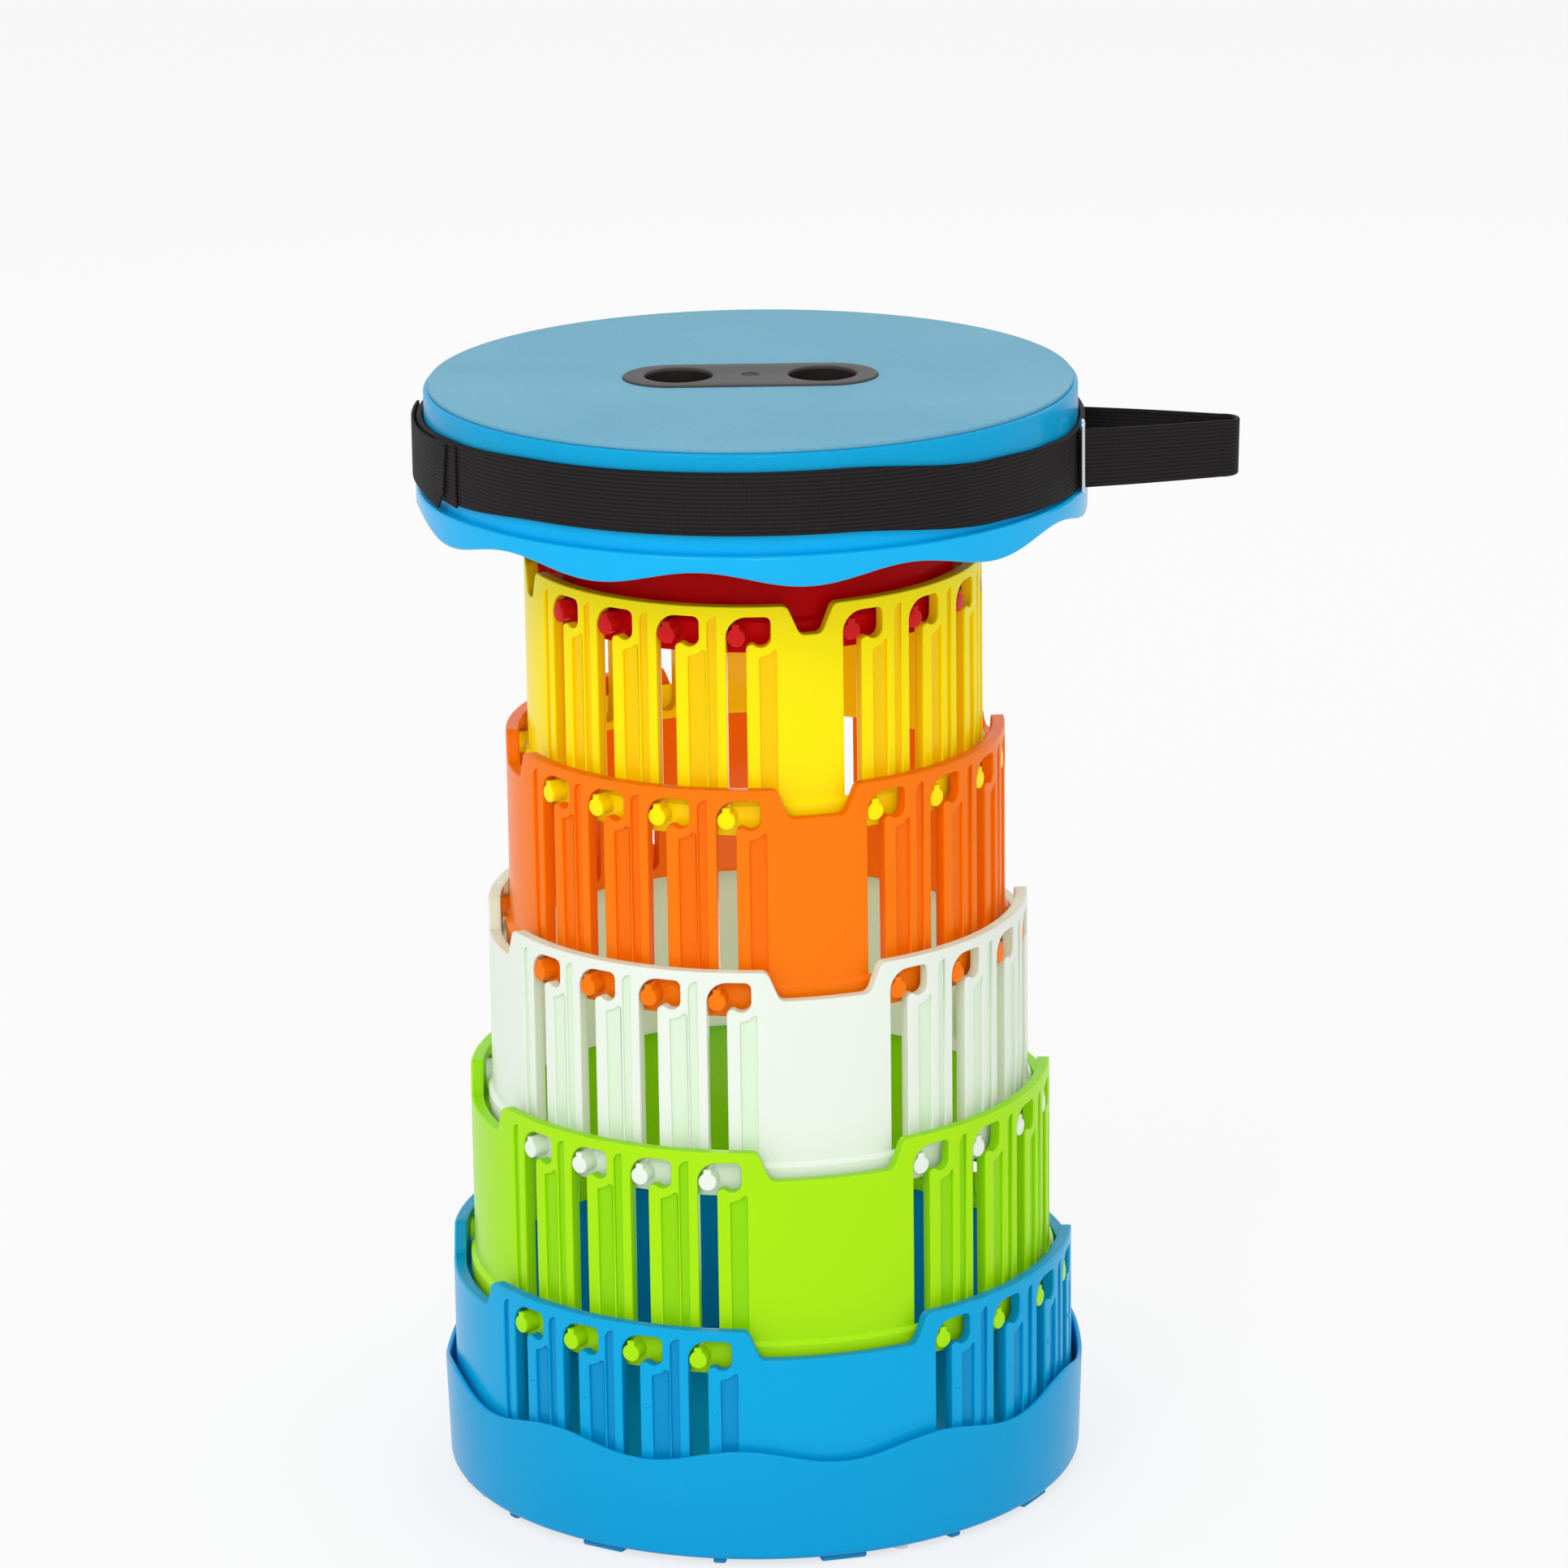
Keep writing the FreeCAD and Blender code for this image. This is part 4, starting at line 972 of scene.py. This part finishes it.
class STOOL_OT_seat(bpy.types.Operator):
    """Models the seat's shell, wavy skirt, grip mat and handle insert"""
    bl_idname = "stool.seat"
    bl_label = "Seat"

    def execute(self, context):
        sizes = context.scene.stool_seat
        colours = context.scene.stool_colours
        deep = toned(colours.seat, 0.82)
        # painted light: the seat wall takes the skirt's brighter blue under lit_level, in the
        # strap's shade
        lit = (sizes.lit_level, colours.skirt)
        shell = self.shell(sizes)
        blue = moulded_plastic("seat plastic", colours.seat, deep, below=lit)
        finish_piece(shell, blue, "seat", ["seat_shell"])
        skirt = self.skirt(context, sizes)
        bright = moulded_plastic("skirt plastic", colours.skirt, deep, roughness=0.22, coat=0.2)
        finish_piece(skirt, bright, "seat", ["seat_skirt"])
        rubber = grip_mat("mat rubber", colours.mat)
        finish_piece(self.mat(sizes), rubber, "seat", ["seat_mat"])
        insert = self.insert(sizes)
        # painted shade: the insert goes near black just under its top, for the shade in its finger
        # holes
        grey = grained_plastic("insert plastic", colours.insert, 0.5, sizes.insert_top - 0.6 * MM)
        finish_piece(insert, grey, "seat", ["handle_insert"])
        return {"FINISHED"}

    def finger_holes(self, sizes, radius):
        """Outlines round the two finger holes."""
        half = sizes.finger_spacing / 2
        return [circle(radius, 72, side * half) for side in (-1, 1)]

    def shell(self, sizes):
        """The turned wall, the top plate that closes it, and the boss for the handle's screw."""
        under = sizes.top - sizes.plate
        joint = sizes.inner - 2 * MM
        wall = spun("seat_wall", rounded([
            (sizes.inner, sizes.wall_foot, 0.3 * MM), (sizes.outer, sizes.wall_foot, 0.3 * MM),
            (sizes.outer, sizes.top, sizes.edge), (joint, sizes.top, 0), (joint, under, 0),
            (sizes.inner, under, 0.5 * MM),
        ], 6), 256)
        holes = self.finger_holes(sizes, sizes.finger_radius + sizes.collar)
        outlines = [circle(joint + FIT, 180), *holes]
        top = plate("seat_top", outlines, under, sizes.top, 0.05 * MM, 0)
        foot = under - sizes.boss_height
        root = under + 0.2 * MM
        boss = sleeve("seat_boss", 1.5 * MM, sizes.boss_radius, foot, root, 48, 0.6 * MM)
        return joined([wall, top, boss], "seat_wall")

    def skirt(self, context, sizes):
        """The brighter band round the wall's foot, with its lower edge in waves."""
        wave = context.scene.stool_base.wave
        ledge = sizes.outer + FIT
        under = sizes.wall_foot - 0.05 * MM
        low = sizes.skirt_level
        skirt = spun("seat_skirt_edge", rounded([
            (sizes.inner, low, 0.7 * MM), (sizes.skirt_outer, low, 1.1 * MM),
            (sizes.skirt_outer, sizes.skirt_top, 1.3 * MM), (ledge, sizes.skirt_top, 0.2 * MM),
            (ledge, under, 0), (sizes.inner, under, 0),
        ], 6), 360)
        make_wavy(skirt, sizes.wall_foot - 0.5 * MM, low + 1.1 * MM, wave, sizes.skirt_turn)
        return skirt

    def oval(self, sizes, half, steps):
        """The insert's outline at half a width."""
        run = (sizes.insert_length - sizes.insert_width) / 2
        return arc(run, 0, half, -90, 90, steps) + arc(-run, 0, half, 90, 270, steps)

    def mat(self, sizes):
        """The thin round mat, open where the insert lies."""
        opening = self.oval(sizes, sizes.insert_width / 2 + FIT, 30)
        outlines = [circle(sizes.mat_radius, 360), opening]
        return plate("grip_mat", outlines, sizes.top, sizes.mat_top, 0.35 * MM, 3)

    def insert(self, sizes):
        """The oval plate, its two collars and a countersink for the screw."""
        recess = sizes.screw_radius + FIT
        holes = [circle(recess, 36), *self.finger_holes(sizes, sizes.finger_radius)]
        outline = self.oval(sizes, sizes.insert_width / 2, 40)
        low, high = sizes.top, sizes.insert_top
        pieces = [plate("handle_plate", [outline, *holes], low, high, 0.7 * MM, 4)]
        inner, outer = sizes.finger_radius, sizes.finger_radius + sizes.collar
        foot, head = sizes.collar_foot, low + 0.5 * MM
        for side in (-1, 1):
            collar = sleeve("collar", inner, outer, foot, head, 72, 0.4 * MM, 0.4 * MM)
            collar.data.transform(Matrix.Translation((side * sizes.finger_spacing / 2, 0, 0)))
            pieces.append(collar)
        pieces.append(sleeve("hub", 1.6 * MM, recess + 0.4 * MM, low, low + 0.6 * MM, 36))
        return joined(pieces, "handle_plate")


# Strap

# The sagging band's edges: angles from the front in degrees, and heights in millimetres
BAND_TOPS = [
    (-180, 431.2), (-110, 428.0), (-82, 427.8), (-60, 429.2), (-38, 430.6), (0, 431.2),
    (15, 431.3), (45, 426.4), (60, 425.1), (73, 424.0), (100, 425.5), (180, 431.2),
]
BAND_FOOTS = [
    (-180, 407.4), (-110, 404.6), (-82, 403.9), (-60, 405.0), (-38, 407.4), (0, 407.4),
    (15, 407.2), (45, 402.2), (60, 401.3), (73, 400.4), (100, 402.0), (180, 407.4),
]
STITCHES = 9
THREAD_SIZE = (0.35 * MM, 0.3 * MM, 1.05 * MM)
STITCH_MARGIN = 1.8 * MM
# The rows of stitches: turns in from the folded end's start, and an angle from the front
SEAM_TURN = math.radians(1.2)
FOLD_TURN = math.radians(5.0)
ROOT_ANGLE = math.radians(68)
LOOP_BULGE = 0.9 * MM
LOOP_CREASE = math.radians(50)
TIP_DROOP = 0.8 * MM
BACK_DROOP = 1.2 * MM
RING_SLACK = 0.3 * MM
RING_BEND = 1.2 * MM


def eased(places, angle):
    """A smooth height between those keyed by angle."""
    degrees = math.degrees(angle)
    for (first, low), (last, high) in zip(places, places[1:]):
        if first <= degrees <= last:
            share = (degrees - first) / (last - first)
            share = share * share * (3 - 2 * share)
            return (low + (high - low) * share) * MM
    return places[-1][1] * MM


def lay_weave(piece, along):
    """Runs the weave's map along the strap: along() gives a point's place on its length."""
    while piece.data.uv_layers:
        piece.data.uv_layers.remove(piece.data.uv_layers[0])
    weave = piece.data.uv_layers.new(name="weave")
    for loop in piece.data.loops:
        vertex = piece.data.vertices[loop.vertex_index]
        weave.data[loop.index].uv = (along(vertex), vertex.co.z)


def sag_band(vertex, sizes):
    """Moves a point of the level band to the strap's sagging edges."""
    angle = bearing(vertex)
    low = eased(BAND_FOOTS, angle)
    high = eased(BAND_TOPS, angle)
    share = (vertex.co.z - sizes.level) / sizes.width + 0.5
    vertex.co.z = low + (high - low) * share


def stitches(name, angle, radius):
    """A short upright row of thread stitches on the strap."""
    thread = bead(name, 8, 6, THREAD_SIZE)
    low = eased(BAND_FOOTS, angle) + STITCH_MARGIN
    high = eased(BAND_TOPS, angle) - STITCH_MARGIN
    matrices = []
    for index in range(STITCHES):
        height = low + (high - low) * index / (STITCHES - 1)
        matrices.append(Matrix.Rotation(angle, 4, "Z") @ Matrix.Translation((0, -radius, height)))
    return joined(copied(thread, matrices), name)


class STOOL_OT_strap(bpy.types.Operator):
    """Models the strap's band, carry loop, folded end, stitches and steel ring"""
    bl_idname = "stool.strap"
    bl_label = "Carry strap"

    def execute(self, context):
        sizes = context.scene.stool_strap
        colours = context.scene.stool_colours
        webbing = woven_webbing("black webbing", colours.webbing)
        makers = {"strap_band": self.band, "strap_loop": self.loop, "strap_end_tab": self.tab}
        for node, make in makers.items():
            finish_piece(make(sizes), webbing, "seat", [node])
        bright = steel("ring steel", colours.steel, 0.12)
        finish_piece(self.ring(sizes), bright, "seat", ["strap_ring"])
        thread = grained_plastic("thread", toned(colours.webbing, 1.8), 0.6)
        flap = sizes.outer + sizes.webbing
        rows = [
            stitches("seam_stitches", sizes.tab_start - SEAM_TURN, flap),
            stitches("fold_stitches", sizes.tab_start - FOLD_TURN, flap),
            stitches("root_stitches", ROOT_ANGLE, sizes.outer),
        ]
        finish_piece(joined(rows, "strap_stitches"), thread, "seat")
        return {"FINISHED"}

    def band(self, sizes):
        """The webbing round the seat, with its sagging edges."""
        half = sizes.width / 2
        low, high = sizes.level - half, sizes.level + half
        rows = [high - sizes.width * step / 6 for step in range(1, 6)]
        corners = [(sizes.inner, low, 0.7 * MM), (sizes.outer, low, 0.9 * MM)]
        corners += [(sizes.outer, row, 0) for row in reversed(rows)]
        corners += [(sizes.outer, high, 0.9 * MM), (sizes.inner, high, 0.7 * MM)]
        band = spun("strap_webbing", rounded(corners, 4), 256)
        for vertex in band.data.vertices:
            sag_band(vertex, sizes)
        band.data.update()
        lay_weave(band, lambda vertex: bearing(vertex) * sizes.outer)
        return band

    def bulged(self, first, last, bulge):
        """Points from one place to another, bulging sideways in between."""
        points = []
        for step in range(13):
            share = step / 12
            x, y = (begin + (end - begin) * share for begin, end in zip(first, last))
            points.append((x, y + math.sin(math.pi * share) * bulge))
        return points

    def loop_path(self, sizes):
        """The loop's middle line, out along the front, round the tip and back."""
        root = sizes.outer - 4 * MM
        tip = sizes.loop_tip - sizes.tip_radius - sizes.webbing / 2
        side = -sizes.tip_side
        front = side - sizes.tip_radius
        back = side + sizes.tip_radius
        path = self.bulged((root, -sizes.loop_front), (tip, front), -LOOP_BULGE)
        path += arc(tip, side, sizes.tip_radius, -84, 84, 14)
        path += self.bulged((tip, back), (root, sizes.loop_back), LOOP_BULGE)
        return path

    def loop(self, sizes):
        """The carry loop: webbing on edge along its middle line."""
        path = [Vector(point) for point in thinned(self.loop_path(sizes), 0.5 * MM)]
        half = sizes.webbing / 2
        outer, inner = [], []
        for index, point in enumerate(path):
            way = path[min(index + 1, len(path) - 1)] - path[max(index - 1, 0)]
            side = Vector((way.y, -way.x)).normalized() * half
            outer.append(tuple(point + side))
            inner.append(tuple(point - side))
        outline = outer + inner[::-1]
        low = sizes.loop_level - sizes.width / 2
        loop = plate("carry_loop", [outline], low, low + sizes.width, 0.8 * MM, 4)
        open_only(loop)
        bpy.ops.object.shade_smooth_by_angle(angle=LOOP_CREASE)
        lengths = [0.0]
        for first, last in zip(path, path[1:]):
            lengths.append(lengths[-1] + (last - first).length)

        def along(vertex):
            spot = Vector(vertex.co[:2])
            nearest = min(range(len(path)), key=lambda index: (path[index] - spot).length)
            step = path[min(nearest + 1, len(path) - 1)] - path[max(nearest - 1, 0)]
            return lengths[nearest] + (spot - path[nearest]).dot(step.normalized())

        lay_weave(loop, along)
        self.lean(sizes, loop)
        return loop

    def lean(self, sizes, loop):
        """Tips the loop's top edge forwards, about its middle line."""
        root = sizes.outer
        middle = -sizes.tip_side
        for vertex in loop.data.vertices:
            share = clamped((vertex.co.x - root) / (sizes.loop_tip - root))
            back = clamped((vertex.co.y - middle) / sizes.tip_radius / 2 + 0.5)
            rooted = sizes.front_lean + (sizes.back_lean - sizes.front_lean) * back
            tilt = rooted + (sizes.tip_lean - rooted) * share
            reach = vertex.co.z - sizes.loop_level
            droop = TIP_DROOP * share + BACK_DROOP * back * (1 - share)
            vertex.co.y -= reach * math.sin(tilt)
            vertex.co.z += reach * (math.cos(tilt) - 1) - droop
        loop.data.update()

    def tab(self, sizes):
        """The strap's end folded back over the band, with its free lower corner turned down."""
        start = math.degrees(sizes.tab_end)
        end = math.degrees(sizes.tab_start)
        radius = sizes.outer + FIT
        span = math.radians(end - start) * radius
        fold = radius + sizes.webbing * 0.45
        flap = rounded([
            (0, 0.6 * MM, 1 * MM), (span * 0.62, 0.2 * MM, 4 * MM),
            (span - 8.5 * MM, -3.2 * MM, 1 * MM), (span - 3.4 * MM, 3.4 * MM, 4 * MM),
            (span, 23.2 * MM, 1 * MM), (0, 23.4 * MM, 1 * MM),
        ])
        under = rounded([
            (span - 12 * MM, 1 * MM, 0), (span + 6.2 * MM, -0.7 * MM, 0.8 * MM),
            (span + 5.4 * MM, 4 * MM, 8 * MM), (span + 5.6 * MM, 23.7 * MM, 0.8 * MM),
            (span - 12 * MM, 23.2 * MM, 0),
        ])
        layers = []
        for outline, low, top in ((flap, fold, radius + sizes.webbing), (under, radius, fold)):
            layer = plate("strap_end", [outline], low, top, (top - low) * 0.4, 3)
            cut_strips(layer, [span * step / 24 for step in range(1, 30)])
            wrap(layer, radius, low, top, 0, math.radians(start))
            layers.append(layer)
        tab = joined(layers, "strap_end")
        for vertex in tab.data.vertices:
            vertex.co.z += eased(BAND_FOOTS, bearing(vertex))
        tab.data.update()
        lay_weave(tab, lambda vertex: bearing(vertex) * radius)
        return tab

    def ring(self, sizes):
        """A rounded rectangle of wire round the loop's front root."""
        reach = RING_SLACK + sizes.ring_wire / 2
        half_y = sizes.webbing / 2 + reach
        half_z = sizes.width / 2 + reach
        signs = ((-1, -1), (1, -1), (1, 1), (-1, 1))
        corners = [(across * half_y, up * half_z, RING_BEND) for across, up in signs]
        place = Vector((sizes.ring_place, -sizes.loop_front, sizes.ring_level))
        outline = [place + Vector((0, y, z)) for y, z in thinned(rounded(corners))]
        curve = drawn("steel_ring", "3D", [outline])
        curve.bevel_depth = sizes.ring_wire / 2
        curve.bevel_resolution = 4
        new_piece("steel_ring", curve)
        bpy.ops.object.convert(target="MESH")
        bpy.ops.object.shade_smooth()
        return bpy.context.object


# Screws

class STOOL_OT_screws(bpy.types.Operator):
    """Gives the screws their finishes"""
    bl_idname = "stool.screws"
    bl_label = "Screw finishes"

    def execute(self, context):
        tone = context.scene.stool_colours.steel
        repaint("base_screws", steel("screw steel", tone))
        repaint("seat_screws", steel("seat screw steel", tone))
        # painted shade: the handle screw is painted near black for the shade in its recess
        repaint("handle_screw", grained_plastic("shade-dark screw", toned(tone, 0.03), 0.4))
        return {"FINISHED"}


# Studio

# Each soft lamp's name, its place, what it is aimed at, its size and its watts
SOFT_LAMPS = [
    ("key lamp", (-1.0, -1.9, 2.0), (0, 0, 0.25), 0.9, 10),
    ("front lamp", (0.15, -2.7, 1.15), (0, 0, 0.22), 0.5, 9),
    ("spark lamp", (-0.8, -2.3, 1.8), (0, 0, 0.3), 0.12, 2.2),
    ("back lamp", (0.4, 1.9, 1.9), (0, 0, 0.3), 1.2, 7),
]
INNER_LAMPS = (0.1, 0.2, 0.3)  # heights on the axis
INNER_WATTS = 0.07
INNER_SIZE = 0.03
WHITE = (1, 1, 1, 1)
SURROUND = 0.85
FLOOR_SIZE = 14
FLOOR_DROP = 0.2 * MM
FLOOR_TONE = (0.86, 0.86, 0.86, 1)
FLOOR_GLOW = 0.72
FRAME_PIXELS = 1932
FOCAL_PIXELS = 7882
SENSOR = 36
NEAREST = 0.05
CAMERA_PLACE = (0, -2.401, 0.970)
PITCH_YAW_ROLL = (16.12, -0.26, -0.73)  # in degrees


def lamp_holder(name, kind, watts, place):
    lamp = bpy.data.lights.new(name, kind)
    lamp.energy = watts
    holder = bpy.data.objects.new(name, lamp)
    bpy.context.collection.objects.link(holder)
    holder.location = place
    return holder


def soft_lamp(name, place, target, size, watts):
    holder = lamp_holder(name, "AREA", watts, place)
    holder.data.shape = "DISK"
    holder.data.size = size
    aim = Vector(target) - Vector(place)
    holder.rotation_euler = aim.to_track_quat("-Z", "Y").to_euler()


def inner_lamp(height):
    """Stands for the light that the thin walls let through: a faint lamp on the axis."""
    holder = lamp_holder("inner lamp", "POINT", INNER_WATTS, (0, 0, height))
    holder.data.shadow_soft_size = INNER_SIZE
    holder.visible_camera = False


class STOOL_OT_studio(bpy.types.Operator):
    """Sets the floor, the soft lamps, the white surround and the camera"""
    bl_idname = "stool.studio"
    bl_label = "Studio"

    def execute(self, context):
        context.scene.view_settings.view_transform = "Standard"
        self.floor()
        self.surround(context)
        for lamp in SOFT_LAMPS:
            soft_lamp(*lamp)
        for height in INNER_LAMPS:
            inner_lamp(height)
        self.camera(context)
        return {"FINISHED"}

    def floor(self):
        """A pale matte floor that glows to white where it is seen and keeps the stool's shadow."""
        bpy.ops.object.select_all(action="DESELECT")
        bpy.ops.mesh.primitive_plane_add(size=FLOOR_SIZE, location=(0, 0, -FLOOR_DROP))
        floor = bpy.context.object
        floor.name = "floor"
        finish = Finish("pale floor", Roughness=0.9)
        finish.shader.inputs["Base Color"].default_value = FLOOR_TONE
        glow = finish.node("ShaderNodeEmission", {}, {"Color": WHITE, "Strength": 1.0})
        share = self.seen(finish) * FLOOR_GLOW
        body = Wire(finish, finish.shader.outputs[0])
        mixed = finish.node("ShaderNodeMixShader", {}, {0: share, 1: body, 2: glow})
        finish.tree.links.new(mixed.socket, finish.tree.nodes["Material Output"].inputs["Surface"])
        floor.data.materials.append(finish.material)

    def seen(self, graph):
        """1 for rays that the camera sees directly, in a reflection or through glass."""
        kinds = ("Is Camera Ray", "Is Glossy Ray", "Is Transmission Ray")
        rays = [graph.node("ShaderNodeLightPath", output=kind) for kind in kinds]
        return rays[0].math("MAXIMUM", rays[0].math("MAXIMUM", rays[0], rays[1]), rays[2])

    def surround(self, context):
        """White where it is seen, and a little dimmer where it only lights the stool."""
        world = bpy.data.worlds.new("white surround")
        context.scene.world = world
        world.use_nodes = True
        light = Graph(world.node_tree)
        light.tree.nodes.clear()
        dim = light.node("ShaderNodeBackground", {}, {"Color": WHITE, "Strength": SURROUND})
        bright = light.node("ShaderNodeBackground", {}, {"Color": WHITE, "Strength": 1.0})
        mixed = light.node("ShaderNodeMixShader", {}, {0: self.seen(light), 1: dim, 2: bright})
        light.node("ShaderNodeOutputWorld", {}, {"Surface": mixed})

    def camera(self, context):
        """The camera as solved from the photograph's ellipses."""
        camera = bpy.data.cameras.new("photo camera")
        camera.sensor_width = SENSOR
        camera.lens = FOCAL_PIXELS / FRAME_PIXELS * SENSOR
        camera.clip_start = NEAREST
        holder = bpy.data.objects.new("photo camera", camera)
        context.collection.objects.link(holder)
        pitch, yaw, roll = (math.radians(angle) for angle in PITCH_YAW_ROLL)
        level = Vector((-math.sin(yaw), math.cos(yaw), 0))
        right = Vector((math.cos(yaw), math.sin(yaw), 0))
        ahead = math.cos(pitch) * level - Vector((0, 0, math.sin(pitch)))
        above = math.sin(pitch) * level + Vector((0, 0, math.cos(pitch)))
        across = math.cos(roll) * right + math.sin(roll) * above
        upward = -math.sin(roll) * right + math.cos(roll) * above
        turned = Matrix((across, upward, -ahead)).transposed().to_4x4()
        holder.matrix_world = Matrix.Translation(CAMERA_PLACE) @ turned
        context.scene.camera = holder


# Add-on

OPERATORS = [
    STOOL_OT_rings, STOOL_OT_red_ring, STOOL_OT_base, STOOL_OT_seat, STOOL_OT_strap,
    STOOL_OT_screws, STOOL_OT_studio,
]
GROUPS = {
    "stool_rings": RingSizes,
    "stool_base": BaseSizes,
    "stool_seat": SeatSizes,
    "stool_strap": StrapSizes,
    "stool_colours": StoolColours,
}


class STOOL_PT_panel(bpy.types.Panel):
    """Lists the stool's steps, sizes and colours"""
    bl_idname = "STOOL_PT_panel"
    bl_label = "Retractable stool"
    bl_space_type = "VIEW_3D"
    bl_region_type = "UI"
    bl_category = "Stool"

    def draw(self, context):
        for operator in OPERATORS:
            self.layout.operator(operator.bl_idname)
        for name, group in GROUPS.items():
            box = self.layout.box()
            for size in group.__annotations__:
                box.prop(getattr(context.scene, name), size)


CLASSES = [*GROUPS.values(), *OPERATORS, STOOL_PT_panel]


def register():
    for item in CLASSES:
        bpy.utils.register_class(item)
    for name, group in GROUPS.items():
        setattr(bpy.types.Scene, name, bpy.props.PointerProperty(type=group))


def unregister():
    for name in GROUPS:
        delattr(bpy.types.Scene, name)
    for item in reversed(CLASSES):
        bpy.utils.unregister_class(item)


def main():
    register()
    for operator in OPERATORS:
        group, name = operator.bl_idname.split(".")
        getattr(getattr(bpy.ops, group), name)()


if __name__ == "__main__":
    main()
